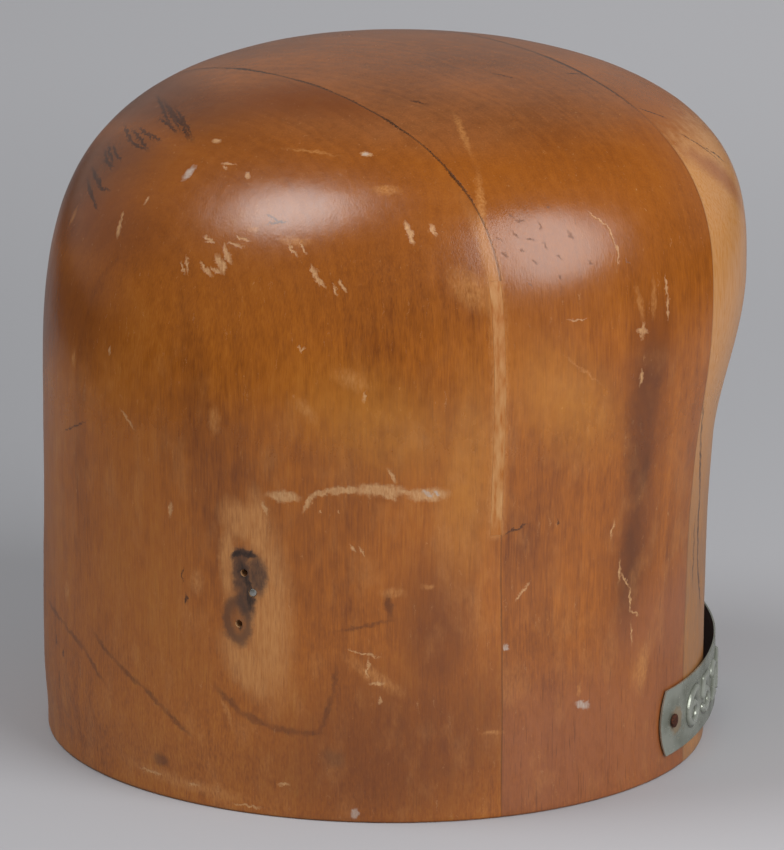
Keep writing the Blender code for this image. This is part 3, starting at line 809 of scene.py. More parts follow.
# Painted shade: on the left shoulder, the left of the crown and low on the front right, and down the middle
# plank where a shallow upright hollow would be in shade
PAINTED_SHADE = (
    (-128, 116, -98, 124, 34.0), (-122, 142, -92, 146, 24.0), (-100, 176, -50, 179, 26.0),
    (-40, 16, -22, 24, 54.0), (-28, 62, -26, 38, 24.0), (4.6, 130, 4.8, 108, 18.0), (4.8, 108, 9.5, 90, 20.0),
    (9.5, 90, 10.6, 40, 20.0),
)

# The first two strokes darken the crown wood on the left. The last three are painted shade down the middle
# plank, where a shallow upright hollow would be in shade
DARK_CROWN_AND_HOLLOW_SHADE = (
    (-150, 160, -96, 172, 26.0), (-132, 146, -104, 160, 26.0), (4.8, 118, 5.2, 100, 12.0),
    (5.2, 100, 8.6, 80, 11.0), (8.6, 80, 10.4, 46, 10.0),
)

PALED = (
    (-46, 112, -34, 104, 30.0), (-26, 116, -24, 70, 18.0), (-16, 118, -6, 104, 27.0),
)

DEEP = (
    (-77.3, 10.2, -76, 10.2, 4.0), (-44.5, 18, -43, 17, 5.0), (-35.6, 61.6, -34.8, 56, 2.4),
    (8.6, 92, 9, 84, 4.0), (8.2, 72, 9, 66, 3.0),
)

REDDENED = (
    (-22, 14, 40, 16, 56.0), (14, 40, 40, 44, 34.0), (29, 164, 42, 150, 11.0),
)


def old_shellac(name, tone, low_tone, reach, seed):
    """Poplar, rasped and sanded to shape, under old brown shellac.

    It gives a soft shine over fine upright streaks, end grain on the crown, and pale wood in every knock.
    Soft clouds of painted shade darken some parts.
    """
    colours = bpy.context.scene.hat_block_colours
    material, tree = finish(name, {"IOR": 1.5, "Specular IOR Level": 0.8})
    place = axis_place(tree)
    parts = node(tree, "SeparateXYZ", place).node.outputs
    height = parts["Z"]

    # Growth rings round a pith far outside the plank, bent by slow waves
    bend = streaks(tree, place, 46.0, 150.0, 2.0, seed)
    leaning = node(tree, "Mapping", place, links={"Scale": (1.0, 1.0, 0.05)})
    pith = Vector((14.0 + seed[0], -170.0 - seed[1], 0.0))
    radius = node(tree, "VectorMath", leaning, pith, output="Value", operation="DISTANCE")
    ring = summed(tree, radius, (bend, 16.0))
    scaled = [product(tree, *pair) for pair in ((ring, 0.55), (parts["X"], 0.016), (height, 0.006))]
    ring_noise = {"Scale": 1.0, "Detail": 4.0, "Roughness": 0.6}
    rings = node(tree, "TexNoise", node(tree, "CombineXYZ", *scaled), links=ring_noise, output="Fac")
    # Vessels are 0.1 mm wide in the wood, drawn 0.5 mm wide here so that they show
    vessels = streaks(tree, place, 0.42, 6.0, 3.0, seed)
    broad = streaks(tree, place, 3.2, 46.0, 2.0, seed)
    cloud = streaks(tree, place, 34.0, 60.0, 3.0, seed)
    mottle = streaks(tree, place, 2.6, 4.5, 4.0, seed)

    # The tone runs from the foot to 100 mm up. Where it is darker towards the base, on the middle and back
    # planks, that is painted shade
    tone_by_height_and_shade = node(tree, "MapRange", height, 0.0, 100.0, low_tone, tone)
    weights = ((rings, 0.2), (vessels, 0.25), (broad, 0.07), (cloud, 0.34), (mottle, 0.17))
    grain = summed(tree, tone_by_height_and_shade, *weights)
    # Low down the finish is knocked all over, so the grain is rougher to the eye
    fine = streaks(tree, place, 0.55, 1.5, 3.0, seed)
    knocked = node(tree, "MapRange", summed(tree, height, (cloud, 30.0)), 85.0, 25.0)
    uneven = node(tree, "MapRange", fine, 0.0, 1.0, -0.2, 0.2)
    grain = summed(tree, grain, (uneven, knocked))
    wall_stops = ((0.34, colours.dark_grain_and_shade), (0.54, colours.grain_amber), (0.74, colours.grain_light))
    wall_colour = node(tree, "ValToRGB", grain, stops=wall_stops)
    crown_stops = ((0.38, colours.crown_dark), (0.62, colours.crown_brown))
    crown_colour = node(tree, "ValToRGB", grain, stops=crown_stops)
    upward = node(tree, "SeparateXYZ", node(tree, "NewGeometry", output="Normal"), output="Z")
    crown = eased(tree, summed(tree, upward, (cloud, 0.12)), 0.93, 1.04)
    cloudy_height = summed(tree, height, (cloud, 30.0))
    shoulder = eased(tree, cloudy_height, 138.0, 170.0, 0.0, 0.5)

    # Sapwood in the back plank, beside the joint: bright above, dull and greyish low down
    ragged_edge = summed(tree, parts["Y"], (bend, 26.0), (mottle, 8.0))
    pale = eased(tree, ragged_edge, BACK_JOINT * MM + 62.0, BACK_JOINT * MM + 42.0)
    beyond = node(tree, "Math", parts["Y"], BACK_JOINT * MM, operation="GREATER_THAN")
    under_crown = eased(tree, summed(tree, height, (mottle, 12.0)), 178.0, 168.0)
    sap = product(tree, pale, beyond, under_crown, 0.9)
    high_up = eased(tree, height, 50.0, 110.0)
    streaked = node(tree, "MapRange", vessels, 0.55, 0.3, 0.0, 0.8)
    sap_layers = ((high_up, colours.sapwood), (streaked, colours.grain_light))
    sap_colour = layered(tree, colours.sapwood_low, *sap_layers)

    # Ragged edges for every mark
    rough_noise = {"Scale": 0.5, "Detail": 5.0, "Roughness": 0.7}
    ragged = node(tree, "TexNoise", place, links=rough_noise, output="Color")
    shaken = node(tree, "VectorMath", ragged, (0.5, 0.5, 0.5), operation="SUBTRACT")
    marked = node(tree, "VectorMath", shaken, (3.4, 3.4, 3.4), place, operation="MULTIPLY_ADD")
    shaken_parts = node(tree, "SeparateXYZ", marked).node.outputs
    lanes = [node(tree, "CombineXYZ", part, part, part) for part in shaken_parts]
    fibres = streaks(tree, place, 0.45, 4.0, 3.0, seed)

    # Each list of marks makes a share: where it starts and is whole, then what breaks it up and how far
    shares = {}
    for kind, strokes, start, whole, breaking, least, most in (
        ("painted_shade", PAINTED_SHADE, 1.35, 0.2, mottle, 0.6, 0.95),
        ("darkest", DARK_CROWN_AND_HOLLOW_SHADE, 1.35, 0.3, mottle, 0.6, 0.95),
        ("paled", PALED, 1.35, 0.1, mottle, 0.35, 0.75),
        ("deep", DEEP, 1.3, 0.3, fine, 0.6, 0.9),
        ("reddened", REDDENED, 1.3, 0.2, mottle, 0.55, 0.9),
        ("rubbed", RUBBED, 1.35, 0.2, fine, 0.05, 0.75),
        ("halo", HALO, 1.5, 0.4, fibres, 0.25, 1.1),
        ("chips", CHIPS, 1.3, 0.4, fine, 0.35, 1.0),
        ("scrape", SCRAPE, 1.2, 0.5, fine, 0.35, 0.95),
        ("grey", GREY_SPOTS, 1.3, 0.5, fine, 0.4, 1.0),
        ("smudges", SMUDGES, 1.4, 0.2, fine, 0.0, 0.5),
        ("scuffs", SCUFFS, 1.4, 0.6, fine, 0.4, 1.0),
        ("curves", CURVES, 1.5, 0.3, fine, 0.25, 0.9),
        ("flecks", FLECKS, 1.6, 0.5, fine, 0.4, 0.9),
        ("stain", STAIN, 1.45, 0.6, fine, 0.75, 1.0),
        ("cores", STAIN_CORES, 1.6, 0.3, fine, 0.6, 1.0),
    ):
        near = eased(tree, nearness(tree, lanes, strokes, reach), start, whole)
        broken = node(tree, "MapRange", breaking, 0.25, 0.75, least, most)
        shares[kind] = product(tree, near, broken)
    lobe = nearness(tree, lanes, STAIN_LOBE, reach)
    lobe_rim = eased(tree, lobe, 0.3, 0.8, 0.35, 0.72)
    lobe = product(tree, eased(tree, lobe, 1.4, 0.9), lobe_rim)

    # Specks and short scratches of bare wood all over, from small knocks
    speck_place = node(tree, "Mapping", marked, links={"Scale": (0.08, 0.08, 0.065)})
    speck = node(tree, "TexVoronoi", speck_place, links={"Scale": 1.0}).node.outputs
    chosen = node(tree, "SeparateColor", speck["Color"])
    speck_size = node(tree, "MapRange", chosen, 0.55, 1.0, 0.0, 0.06)
    speck_edge = node(tree, "Math", speck["Distance"], speck_size, operation="SUBTRACT")
    specks = eased(tree, speck_edge, 0.0, -0.03, 0.0, 0.45)
    scratches = streaks(tree, marked, 0.7, 9.0, 2.0, seed)
    scratches = eased(tree, scratches, 0.68, 0.76, 0.0, 0.3)
    nicks = greatest(tree, specks, scratches)
    # Patches where handling has thinned the finish, and dark hairs where it has crazed
    thinned = eased(tree, streaks(tree, place, 8.0, 14.0, 5.0, seed), 0.48, 0.72, 0.0, 0.3)
    on_walls = node(tree, "MapRange", cloudy_height, 145.0, 115.0, 0.15, 1.0)
    thinned = product(tree, thinned, on_walls, node(tree, "MapRange", fine, 0.25, 0.7, 0.3, 1.0))
    hairs = eased(tree, streaks(tree, place, 0.4, 13.0, 2.0, seed), 0.6, 0.7)
    hairs = product(tree, hairs, summed(tree, 0.12, (shares["reddened"], 0.4)))

    worn = greatest(tree, shares["chips"], shares["scrape"])
    dirt = joint_dirt(tree, parts, fine, cloud)
    colour = layered(
        tree,
        wall_colour,
        (shares["paled"], colours.grain_light),
        (shoulder, colours.dome_grain),
        (sap, sap_colour),
        (crown, crown_colour),
        # Painted shade in soft clouds
        (shares["painted_shade"], colours.dark_grain_and_shade),
        # Dark crown wood on the left, and painted shade down the middle plank
        (shares["darkest"], colours.deep_grain_and_shade),
        (shares["deep"], colours.deep_grain_and_shade),
        (shares["reddened"], colours.reddened),
        (thinned, colours.thin_finish),
        (hairs, colours.grime),
        (putty_smear(tree, parts, fine), colours.thin_finish),
        (shares["rubbed"], colours.thin_finish),
        (shares["curves"], colours.deep_grain_and_shade),
        (shares["halo"], colours.thin_finish),
        (worn, colours.bare_wood),
        (nicks, colours.bare_wood),
        (shares["grey"], colours.grey_spot),
        (shares["smudges"], colours.deep_grain_and_shade),
        (shares["scuffs"], colours.scuff),
        (shares["flecks"], colours.deep_grain_and_shade),
        (shares["stain"], colours.burn_pale),
        (lobe, colours.burn_pale),
        (shares["cores"], colours.burn),
        (dirt, colours.grime),
    )

    # The shine is softest where hands and felt have worn the shellac
    handled = eased(tree, cloudy_height, 130.0, 80.0)
    damage = greatest(tree, worn, *[shares[kind] for kind in ("stain", "halo", "grey", "flecks")])
    gloss = summed(tree, 0.2, (handled, 0.12), (mottle, 0.1), (damage, 0.35))
    depths = ((cloud, 0.35), (mottle, 0.05), (worn, -0.06), (dirt, -0.03))
    relief = summed(tree, product(tree, vessels, 0.03), *depths)
    return surface(material, colour, gloss, relief)


def joint_dirt(tree, parts, fine, cloud):
    """Dirt in the glue joints: a dark uneven line on the crown that fades down the walls."""
    trim = bpy.context.scene.hat_block_trim
    patchy = eased(tree, summed(tree, cloud, (fine, 0.5)), 0.78, 0.92, 0.0, 0.5)
    above = node(tree, "Math", parts["Z"], trim.filler_high * MM, operation="GREATER_THAN")
    below = node(tree, "Math", parts["Z"], trim.filler_low * MM, operation="LESS_THAN")
    left = node(tree, "Math", parts["X"], 0.0, operation="LESS_THAN")
    open_joint = greatest(tree, above, below, left)
    on_crown = eased(tree, parts["Z"], 150.0, 172.0, 0.45, 1.0)
    broken = eased(tree, cloud, 0.42, 0.56, 0.5, 1.0)
    on_top = eased(tree, parts["Z"], 172.0, 179.0, 0.2, 1.0)
    masks = []
    front_shown = product(tree, open_joint, on_crown, broken)
    for joint, width, shown in ((FRONT_JOINT, 0.35, front_shown), (BACK_JOINT, 0.7, on_top)):
        from_joint = node(tree, "Math", parts["Y"], joint * MM, operation="SUBTRACT")
        away = node(tree, "Math", from_joint, operation="ABSOLUTE")
        away = node(tree, "Math", away, product(tree, patchy, on_crown), operation="SUBTRACT")
        masks.append(product(tree, eased(tree, away, width, 0.02), shown))
    return product(tree, greatest(tree, *masks), 0.85)


def putty_smear(tree, parts, fine):
    """Where putty was wiped over the wood on both sides of the strip."""
    trim = bpy.context.scene.hat_block_trim
    middle = (FRONT_JOINT - trim.filler_width / 2.0) * MM
    away = node(tree, "Math", parts["Y"], middle, operation="SUBTRACT")
    away = node(tree, "Math", away, operation="ABSOLUTE")
    beside = eased(tree, summed(tree, away, (fine, 2.6)), 4.2, 1.6, 0.0, 0.7)
    low, high = trim.filler_low * MM, trim.filler_high * MM
    above = eased(tree, parts["Z"], low - 2.0, low + 1.0)
    below = eased(tree, parts["Z"], high + 26.0, high - 4.0)
    right = node(tree, "Math", parts["X"], 0.0, operation="GREATER_THAN")
    return product(tree, beside, above, below, right)


def sawn_poplar():
    """Poplar straight from the saw, never finished: pale, rough and a little dirty."""
    colours = bpy.context.scene.hat_block_colours
    material, tree = finish("sawn_poplar", {"Roughness": 0.8})
    place = axis_place(tree)
    grain = streaks(tree, place, 1.2, 30.0)
    cloud = streaks(tree, place, 22.0, 22.0)
    tone = summed(tree, product(tree, grain, 0.5), (cloud, 0.6))
    stops = ((0.3, linear("7E5834")), (0.55, colours.sawn_wood), (0.8, linear("CDA679")))
    return surface(material, node(tree, "ValToRGB", tone, stops=stops), None, grain, 0.6, 0.2)


def old_putty():
    """Linseed putty, pressed in with a knife and shellacked over: a little paler than the wood, and dull."""
    colours = bpy.context.scene.hat_block_colours
    material, tree = finish("old_putty", {"Roughness": 0.45})
    place = axis_place(tree)
    height = node(tree, "SeparateXYZ", place, output="Z")
    mottle = streaks(tree, place, 1.4, 6.0, 4.0)
    low_end = eased(tree, height, 110.0, 82.0, 0.0, 0.05)
    tone = node(tree, "Math", mottle, low_end, operation="ADD")
    stops = ((0.32, colours.grain_amber), (0.52, colours.putty), (0.75, linear("C8925A")))
    putty = node(tree, "ValToRGB", tone, stops=stops)
    foot = eased(tree, summed(tree, height, (mottle, 8.0)), 88.0, 80.0, 0.0, 0.7)
    colour = layered(tree, putty, (foot, colours.grain_amber))
    return surface(material, colour, None, mottle, 0.7, 0.15)


def dull_tinplate():
    """Rolled steel sheet dipped in tin, gone grey: a soft metal sheen, rusty round the tack, and behind dark
    with rust and painted shade. The raised digits carry a painted highlight, with painted shade round them.
    """
    colours = bpy.context.scene.hat_block_colours
    material, tree = finish("dull_tinplate", {"Metallic": 0.6})
    place = axis_place(tree)
    cloud = streaks(tree, place, 9.0, 7.0, 2.0)
    tin = node(tree, "ValToRGB", cloud, stops=((0.3, colours.tarnish), (0.6, colours.tin)))
    point, _ = plate_place(TACK_INSET + 0.002)
    under_tack = (point - Vector((0.0, 0.0, 0.0006))) * MM
    away = node(tree, "VectorMath", place, under_tack, output="Value", operation="DISTANCE")
    fine = node(tree, "TexNoise", place, links={"Scale": 0.9, "Detail": 4.0}, output="Fac")
    ring = eased(tree, summed(tree, away, (fine, 3.0)), 6.0, 4.2, 0.0, 0.7)
    spots = eased(tree, fine, 0.66, 0.74, 0.0, 0.4)
    rusted = greatest(tree, ring, spots)
    # The inner face, turned to the wood, is dark rust and painted shade
    level = node(tree, "VectorMath", place, (1.0, 1.0, 0.0), operation="MULTIPLY")
    facing = node(tree, "NewGeometry", output="Normal")
    outward = node(tree, "VectorMath", facing, level, output="Value", operation="DOT_PRODUCT")
    inner = eased(tree, outward, 0.0, -20.0)
    # The raised digits are rubbed bright and carry a painted highlight, and the dip round them holds dirt and
    # painted shade
    strokes = node(tree, "Attribute", output="Fac", attribute_name="strokes")
    rubbed = eased(tree, strokes, 0.72, 0.86, 0.0, 0.6)
    dip = eased(tree, strokes, 0.3, 0.52, 0.0, 0.7)
    dip = product(tree, dip, eased(tree, strokes, 0.74, 0.6))
    colour = layered(
        tree,
        tin,
        (dip, colours.tin_dirt_and_shade),
        (rubbed, colours.tin_rubbed_and_highlit),
        (rusted, colours.rust_tan),
        (inner, colours.dark_rust_and_shade),
    )
    gloss = node(tree, "MapRange", greatest(tree, rusted, inner), 0.0, 1.0, 0.27, 0.85)
    return surface(material, colour, gloss, cloud, 0.3, 0.1)


def rusty_iron():
    """Forged iron tack, rusted all over: dark, grainy and without shine."""
    colours = bpy.context.scene.hat_block_colours
    material, tree = finish("rusty_iron", {"Metallic": 0.3, "Roughness": 0.8})
    place = axis_place(tree)
    crust = node(tree, "TexNoise", place, links={"Scale": 2.2, "Detail": 5.0}, output="Fac")
    colour = node(tree, "ValToRGB", crust, stops=((0.35, colours.dark_rust_and_shade), (0.65, colours.rust)))
    return surface(material, colour, None, crust, 0.8, 0.15)


def bright_steel():
    """Drawn steel brad, struck clean: a small bright glint with a few scratches."""
    colours = bpy.context.scene.hat_block_colours
    material, tree = finish("bright_steel", {"Metallic": 1.0})
    place = axis_place(tree)
    scratches = streaks(tree, place, 0.15, 2.0)
    colour = node(tree, "ValToRGB", scratches, stops=((0.3, linear("A8AAA4")), (0.6, colours.steel)))
    return surface(material, colour, node(tree, "MapRange", scratches, 0.3, 0.7, 0.38, 0.55))


def plain_beech():
    """Turned beech dowel, unfinished: pale pinkish wood with short dark flecks."""
    colours = bpy.context.scene.hat_block_colours
    material, tree = finish("plain_beech", {"Roughness": 0.6})
    place = axis_place(tree)
    stretched = node(tree, "Mapping", place, links={"Scale": (1.6, 0.12, 1.6)})
    flecks = node(tree, "TexNoise", stretched, links={"Scale": 1.0, "Detail": 4.0}, output="Fac")
    colour = node(tree, "ValToRGB", flecks, stops=((0.3, linear("A5774A")), (0.6, colours.beech)))
    return surface(material, colour, None, flecks, 0.5, 0.1)


def seamless_paper():
    """Matt grey background paper with painted light: paler far behind and near on the right, a little darker
    at mid distance.
    """
    looks = bpy.context.scene.hat_block_stage
    material, tree = finish("seamless_paper", {"Roughness": 0.9})
    place = node(tree, "TexCoord", output="Object")
    mottle = node(tree, "TexNoise", place, links={"Scale": 3.0, "Detail": 2.0}, output="Fac")
    far = node(tree, "VectorMath", place, PAPER_AWAY, output="Value", operation="DOT_PRODUCT")
    aside = node(tree, "VectorMath", place, PAPER_ACROSS, output="Value", operation="DOT_PRODUCT")
    behind = eased(tree, far, 0.3, 0.95, 0.0, 0.66)
    before = eased(tree, far, 0.2, -0.15, 0.1, 0.36)
    lit = node(tree, "Math", behind, before, operation="ADD")
    lit = summed(tree, lit, (aside, 1.0))
    lit = node(tree, "Math", mottle, 0.06, lit, operation="MULTIPLY_ADD", use_clamp=True)
    # To glossy rays only, the paper is painted darker, most of all past the edges of a strip that runs away
    # behind the block and near the camera: a painted reflection of the dark studio
    beside = eased(tree, node(tree, "Math", aside, operation="ABSOLUTE"), 0.35, 0.52)
    nearer = eased(tree, far, -0.42, -0.58)
    ray = node(tree, "LightPath", output="Is Glossy Ray")
    studio = product(tree, greatest(tree, beside, nearer, 0.4), ray)
    colour = layered(tree, looks.floor_colour, (lit, looks.floor_light), (studio, looks.studio_dark))
    return surface(material, colour)


class HATBLOCK_OT_planks(bpy.types.Operator):
    """Make the three planks of the head form"""

    bl_idname = "hatblock.planks"
    bl_label = "Planks"

    def execute(self, context):
        half_gap = Vector((0.0, JOINT_GAP / 2.0, 0.0))
        front = Vector((0.0, FRONT_JOINT, 0.0))
        back = Vector((0.0, BACK_JOINT, 0.0))
        before_front, behind_front = (front - half_gap, TOWARDS_BACK), (front + half_gap, -TOWARDS_BACK)
        before_back, behind_back = (back - half_gap, TOWARDS_BACK), (back + half_gap, -TOWARDS_BACK)
        # Each plank's saw cuts, its tones high up and low down, and where its grain lies. The darker tone low
        # down on the middle and back planks is painted shade; the front plank is a little lighter low down
        cuts = {
            "front_plank": ([before_front], (-0.02, 0.04), (3.0, 5.0, 2.0)),
            "middle_plank": ([behind_front, before_back], (-0.04, -0.1), (31.0, 17.0, 9.0)),
            "back_plank": ([behind_back], (0.01, -0.05), (57.0, 41.0, 23.0)),
        }
        whole = form_mesh()
        for face in whole.faces:
            if max(vert.co.z for vert in face.verts) < MERGE_DISTANCE:
                face.material_index = 1
        sawn = sawn_poplar()
        for name, (planes, tones, seed) in cuts.items():
            mesh = whole.copy()
            for point, removed_side in planes:
                saw(mesh, point, removed_side)
            ends = [vert.co.y * MM for vert in mesh.verts]
            reach = (min(ends) - MARK_OVERLAP, max(ends) + MARK_OVERLAP)
            wood = old_shellac(f"shellac_{name}", *tones, reach, seed)
            made = object_from(f"{name}_finished", mesh, [wood, sawn])
            cut_out(made, plank_cutters(name))
            dress(made, name)
        whole.free()
        return {"FINISHED"}


class HATBLOCK_OT_filler(bpy.types.Operator):
    """Make the putty strip in the front joint"""

    bl_idname = "hatblock.filler"
    bl_label = "Seam filler"

    def execute(self, context):
        low, high = filler_box(-HAIRLINE)
        mesh = form_mesh()
        for away in ((-1.0, 0.0, 0.0), (0.0, -1.0, 0.0), (0.0, 0.0, -1.0)):
            saw(mesh, low, Vector(away))
        for away in (TOWARDS_BACK, UP):
            saw(mesh, high, away)
        made = object_from("seam_filler_finished", mesh, [old_putty()])
        for face in made.data.polygons:
            face.material_index = 0
        dress(made, "seam_filler")
        return {"FINISHED"}


def digit_lines(digit):
    """The strokes of a digit as points in a box 0.66 wide and 1 high."""
    if digit == "2":
        foot = [Vector((0.04, 0.0)), Vector((0.64, 0.0))]
        return [arc(0.33, 0.71, 0.28, 0.29, range(165, -50, -12)) + foot]
    if digit == "5":
        flag = [Vector((0.58, 1.0)), Vector((0.14, 1.0))]
        return [flag + arc(0.32, 0.31, 0.31, 0.31, range(140, -150, -12))]
    if digit == "6":
        loop = arc(0.33, 0.30, 0.29, 0.30, range(0, 361, 15))
        return [loop, arc(0.56, 0.40, 0.52, 0.58, range(190, 80, -12))]
    raise ValueError(f"no strokes for {digit}")


def arc(x, y, half_width, half_height, degrees):
    """Points of an oval arc round a middle, at some angles."""
    turns = [math.radians(angle) for angle in degrees]
    return [Vector((x + half_width * math.cos(turn), y + half_height * math.sin(turn))) for turn in turns]


def distance_to_line(point, line):
    """Distance of a point from a run of straight strokes."""
    nearest = 1.0
    for start, end in zip(line, line[1:]):
        span = end - start
        share = min(max((point - start).dot(span) / span.length_squared, 0.0), 1.0)
        nearest = min(nearest, (point - start - span * share).length)
    return nearest


def digit_nearness(run, height, trim):
    """Distance from a place on the plate to the nearest stroke of a digit."""
    middle = PLATE_LOW_EDGE + PLATE_HEIGHT / 2.0
    nearest = STROKE_REACH
    for digit, start in DIGITS:
        across = 0.66 * (run - start) / trim.digit_width
        local = Vector((across, (height - middle) / trim.digit_height + 0.5))
        if -0.3 < local.x < 1.0 and -0.3 < local.y < 1.3:
            away = min(distance_to_line(local, line) for line in digit_lines(digit))
            nearest = min(nearest, away * trim.digit_height)
    return nearest


class HATBLOCK_OT_plate(bpy.types.Operator):
    """Make the tin number plate"""

    bl_idname = "hatblock.plate"
    bl_label = "Number plate"

    def execute(self, context):
        trim = context.scene.hat_block_trim
        mesh = bmesh.new()
        bmesh.ops.create_grid(mesh, x_segments=PLATE_COLUMNS, y_segments=PLATE_ROWS, size=0.5)
        rises = {}
        strokes = mesh.verts.layers.float.new("strokes")
        for vert in mesh.verts:
            along, up = vert.co.x + 0.5, vert.co.y
            bow = trim.end_bulge * (2.0 * up) ** 2
            height = PLATE_LOW_EDGE + PLATE_HEIGHT * (up + 0.5)
            run = bow + (trim.plate_length - 2.0 * bow) * along
            vert.co = plate_point(run, height)
            away = digit_nearness(run, height, trim)
            rises[vert] = trim.digit_rise * ease(1.0 - (away - trim.stroke_width / 2.0) / trim.stroke_slope)
            vert[strokes] = 1.0 - away / STROKE_REACH
        mesh.normal_update()
        outwards = {vert: vert.normal.copy() for vert in mesh.verts}
        for vert, outward in outwards.items():
            if outward.xy.dot(vert.co.xy) < 0.0:
                outward = -outward
            vert.co += outward * rises[vert]
        made = object_from("size_plate_finished", mesh, [dull_tinplate()])
        leaf = made.modifiers.new("thickness", "SOLIDIFY")
        leaf.thickness = trim.plate_thickness
        leaf.offset = 1.0
        cutters = bmesh.new()
        for run in (TACK_INSET, trim.plate_length - TACK_INSET):
            point, normal = plate_place(run)
            start = point - normal * PAST_THE_FACE
            bore(cutters, start, normal, trim.tack_shank + CLEARANCE, 3.0 * PAST_THE_FACE, SMALL_SIDES)
        cut_out(made, cutters)
        dress(made, "size_plate")
        return {"FINISHED"}


def nail_mesh(shank, length, head, thickness):
    """A nail with its blunt point at the origin and a domed head on top, standing along +Z."""
    outline = [(0.0, 0.0), (shank * NAIL_POINT_SHARE, 0.0), (shank, NAIL_POINT_LENGTH)]
    outline += [(shank, length), (head, length), (head, length + thickness * (1.0 - HEAD_CROWN))]
    steps = 8
    for step in range(1, steps + 1):
        angle = step / steps * math.pi / 2.0
        radius = head * math.cos(angle) if step < steps else 0.0
        outline.append((radius, length + thickness * (1.0 - HEAD_CROWN + HEAD_CROWN * math.sin(angle))))
    turned = bmesh.new()
    verts = [turned.verts.new((radius, 0.0, height)) for radius, height in outline]
    edges = [turned.edges.new(pair) for pair in zip(verts, verts[1:])]
    bmesh.ops.spin(turned, geom=verts + edges, axis=UP, angle=2.0 * math.pi, steps=32, use_merge=True)
    bmesh.ops.remove_doubles(turned, verts=turned.verts, dist=MERGE_DISTANCE)
    bmesh.ops.recalc_face_normals(turned, faces=turned.faces)
    return turned


def stand(mesh, start, direction):
    """Stands a bmesh at a point, with its +Z along a direction."""
    bmesh.ops.transform(mesh, matrix=standing(start, direction), verts=mesh.verts)


class HATBLOCK_OT_nails(bpy.types.Operator):
    """Make the rusty tack of the plate and the bright brad in the side"""

    bl_idname = "hatblock.nails"
    bl_label = "Tack and brad"

    def execute(self, context):
        trim = context.scene.hat_block_trim
        point, normal = plate_place(TACK_INSET)
        under_head = point + normal * (trim.plate_thickness + CLEARANCE)
        tack = nail_mesh(trim.tack_shank / 2.0, TACK_LENGTH, trim.tack_head / 2.0, TACK_HEAD_THICKNESS)
        stand(tack, under_head - normal * TACK_LENGTH, normal)
        dress(object_from("plate_tack_finished", tack, [rusty_iron()]), "plate_tack")
        point, normal = on_wall(BRAD_ANGLE, BRAD_HEIGHT)
        under_head = point - normal * BRAD_HEAD_THICKNESS
        brad = nail_mesh(trim.brad_shank / 2.0, BRAD_LENGTH, trim.brad_head / 2.0, BRAD_HEAD_THICKNESS)
        stand(brad, under_head - normal * BRAD_LENGTH, normal)
        dress(object_from("side_brad_finished", brad, [bright_steel()]), "side_brad")
        return {"FINISHED"}


class HATBLOCK_OT_dowels(bpy.types.Operator):
    """Give the four hidden dowels their wood"""

    bl_idname = "hatblock.dowels"
    bl_label = "Dowels"

    def execute(self, context):
        beech = plain_beech()
        for name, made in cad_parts.items():
            if "dowel" in name:
                made.data.materials.clear()
                made.data.materials.append(beech)
        return {"FINISHED"}


class HATBLOCK_OT_stage(bpy.types.Operator):
    """Set the floor, the light and the camera"""

    bl_idname = "hatblock.stage"
    bl_label = "Stage"

    def execute(self, context):
        looks = context.scene.hat_block_stage
        floor = bmesh.new()
        bmesh.ops.create_grid(floor, x_segments=8, y_segments=8, size=FLOOR_HALF_WIDTH)
        data = bpy.data.meshes.new("floor")
        floor.to_mesh(data)
        floor.free()
        data.materials.append(seamless_paper())
        made = bpy.data.objects.new("floor", data)
        context.scene.collection.objects.link(made)

        sine, cosine, out = math.sin(CAMERA_AZIMUTH), math.cos(CAMERA_AZIMUTH), math.cos(CAMERA_ELEVATION)
        towards = Vector((sine * out, -cosine * out, math.sin(CAMERA_ELEVATION)))
        right = Vector((cosine, sine, 0.0))
        target = right * AIM_ASIDE + Vector((0.0, AXIS_Y, AIM_HEIGHT))
        lens = bpy.data.cameras.new("camera")
        lens.sensor_width = 36.0
        lens.lens = CAMERA_LENS
        lens.clip_start = 0.1
        lens.clip_end = 30.0
        camera = bpy.data.objects.new("camera", lens)
        camera.location = target + towards * looks.camera_distance
        axes = Matrix((right, towards.cross(right), towards)).transposed()
        camera.rotation_euler = axes.to_euler()
        context.scene.collection.objects.link(camera)
        context.scene.camera = camera

        softbox("right_softbox", Vector((0.83, 0.12, 0.55)), (1.15, 1.65), looks.right_power)
        softbox("left_softbox", Vector((-0.22, -0.46, 0.86)), (0.78, 0.78), looks.left_power)
        light_room(context.scene, looks)
        context.scene.view_settings.view_transform = "Standard"
        return {"FINISHED"}


def softbox(name, direction, spread, power):
    """An oval lamp of some width and height that looks at the block from a direction."""
    lamp = bpy.data.lights.new(name, "AREA")
    lamp.shape = "ELLIPSE"
    lamp.size, lamp.size_y = spread
    lamp.energy = power
    made = bpy.data.objects.new(name, lamp)
    direction = direction.normalized()
    made.location = Vector((0.0, AXIS_Y, LAMP_AIM_HEIGHT)) + direction * LAMP_DISTANCE
    made.rotation_euler = direction.to_track_quat("Z", "Y").to_euler()
    bpy.context.scene.collection.objects.link(made)


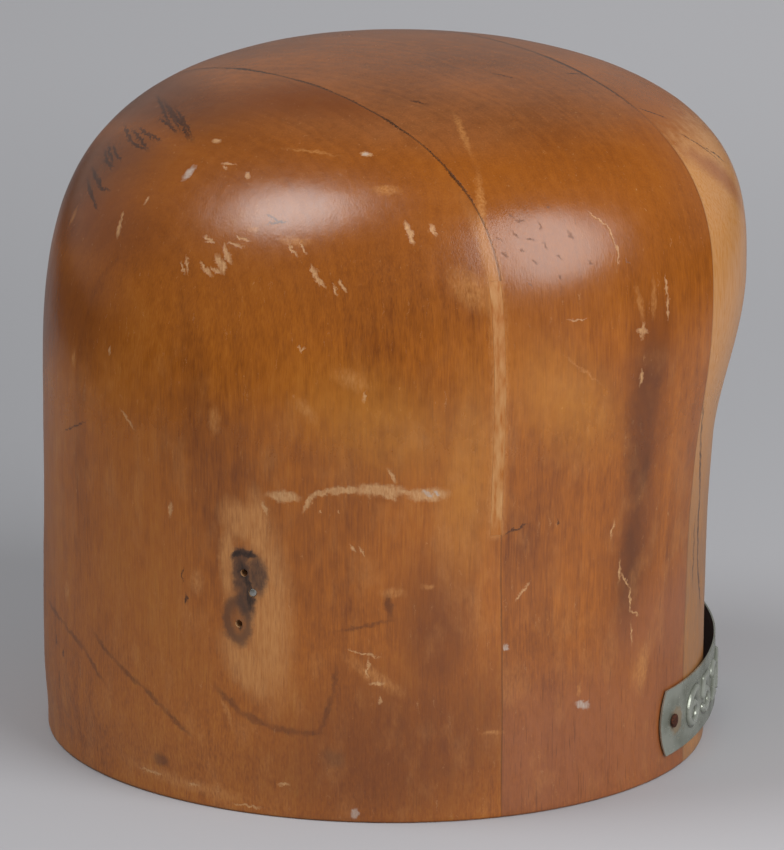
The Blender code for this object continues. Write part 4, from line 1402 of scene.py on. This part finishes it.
def light_room(scene, looks):
    """An even fill of light. Gloss mirrors a dim room, with the paper rising behind the block."""
    world = bpy.data.worlds.new("room")
    scene.world = world
    world.use_nodes = True
    tree = world.node_tree
    background = tree.nodes["Background"]
    here = node(tree, "TexCoord", output="Generated")
    parts = node(tree, "SeparateXYZ", here).node.outputs
    fill = product(tree, summed(tree, 0.9, (parts["X"], 0.2)), looks.room_strength)
    behind = node(tree, "VectorMath", here, PAPER_AWAY, output="Value", operation="DOT_PRODUCT")
    paper = eased(tree, behind, 0.1, 0.7, 0.0, 0.15)
    low = eased(tree, parts["Z"], 0.65, 0.35)
    dim = summed(tree, 0.06, (paper, low))
    ray = node(tree, "LightPath").node.outputs
    strength = node(tree, "Mix", ray["Is Glossy Ray"], links={2: fill, 3: dim})
    strength = node(tree, "Mix", ray["Is Camera Ray"], links={2: strength, 3: 0.4})
    tree.links.new(strength, background.inputs["Strength"])
    background.inputs["Color"].default_value = looks.room_colour


class HATBLOCK_PT_panel(bpy.types.Panel):
    """Lists the steps that dress the hat block"""

    bl_label = "Hat block"
    bl_idname = "HATBLOCK_PT_panel"
    bl_space_type = "VIEW_3D"
    bl_region_type = "UI"
    bl_category = "Hat block"

    def draw(self, context):
        for step in STEPS:
            self.layout.operator(step.bl_idname)
        for group in (context.scene.hat_block_form, context.scene.hat_block_trim):
            box = self.layout.box()
            for name in group.__annotations__:
                box.prop(group, name)


STEPS = (
    HATBLOCK_OT_stage,
    HATBLOCK_OT_planks,
    HATBLOCK_OT_filler,
    HATBLOCK_OT_plate,
    HATBLOCK_OT_nails,
    HATBLOCK_OT_dowels,
)
GROUPS = {
    "hat_block_form": FormSizes,
    "hat_block_trim": TrimSizes,
    "hat_block_colours": FinishColours,
    "hat_block_stage": StageLooks,
}


def register():
    for group in GROUPS.values():
        bpy.utils.register_class(group)
    for name, group in GROUPS.items():
        setattr(bpy.types.Scene, name, PointerProperty(type=group))
    for step in STEPS:
        bpy.utils.register_class(step)
    bpy.utils.register_class(HATBLOCK_PT_panel)


def unregister():
    bpy.utils.unregister_class(HATBLOCK_PT_panel)
    for step in reversed(STEPS):
        bpy.utils.unregister_class(step)
    for name, group in GROUPS.items():
        delattr(bpy.types.Scene, name)
        bpy.utils.unregister_class(group)


def main():
    register()
    bpy.ops.hatblock.stage()
    bpy.ops.hatblock.planks()
    bpy.ops.hatblock.filler()
    bpy.ops.hatblock.plate()
    bpy.ops.hatblock.nails()
    bpy.ops.hatblock.dowels()


if __name__ == "__main__":
    main()
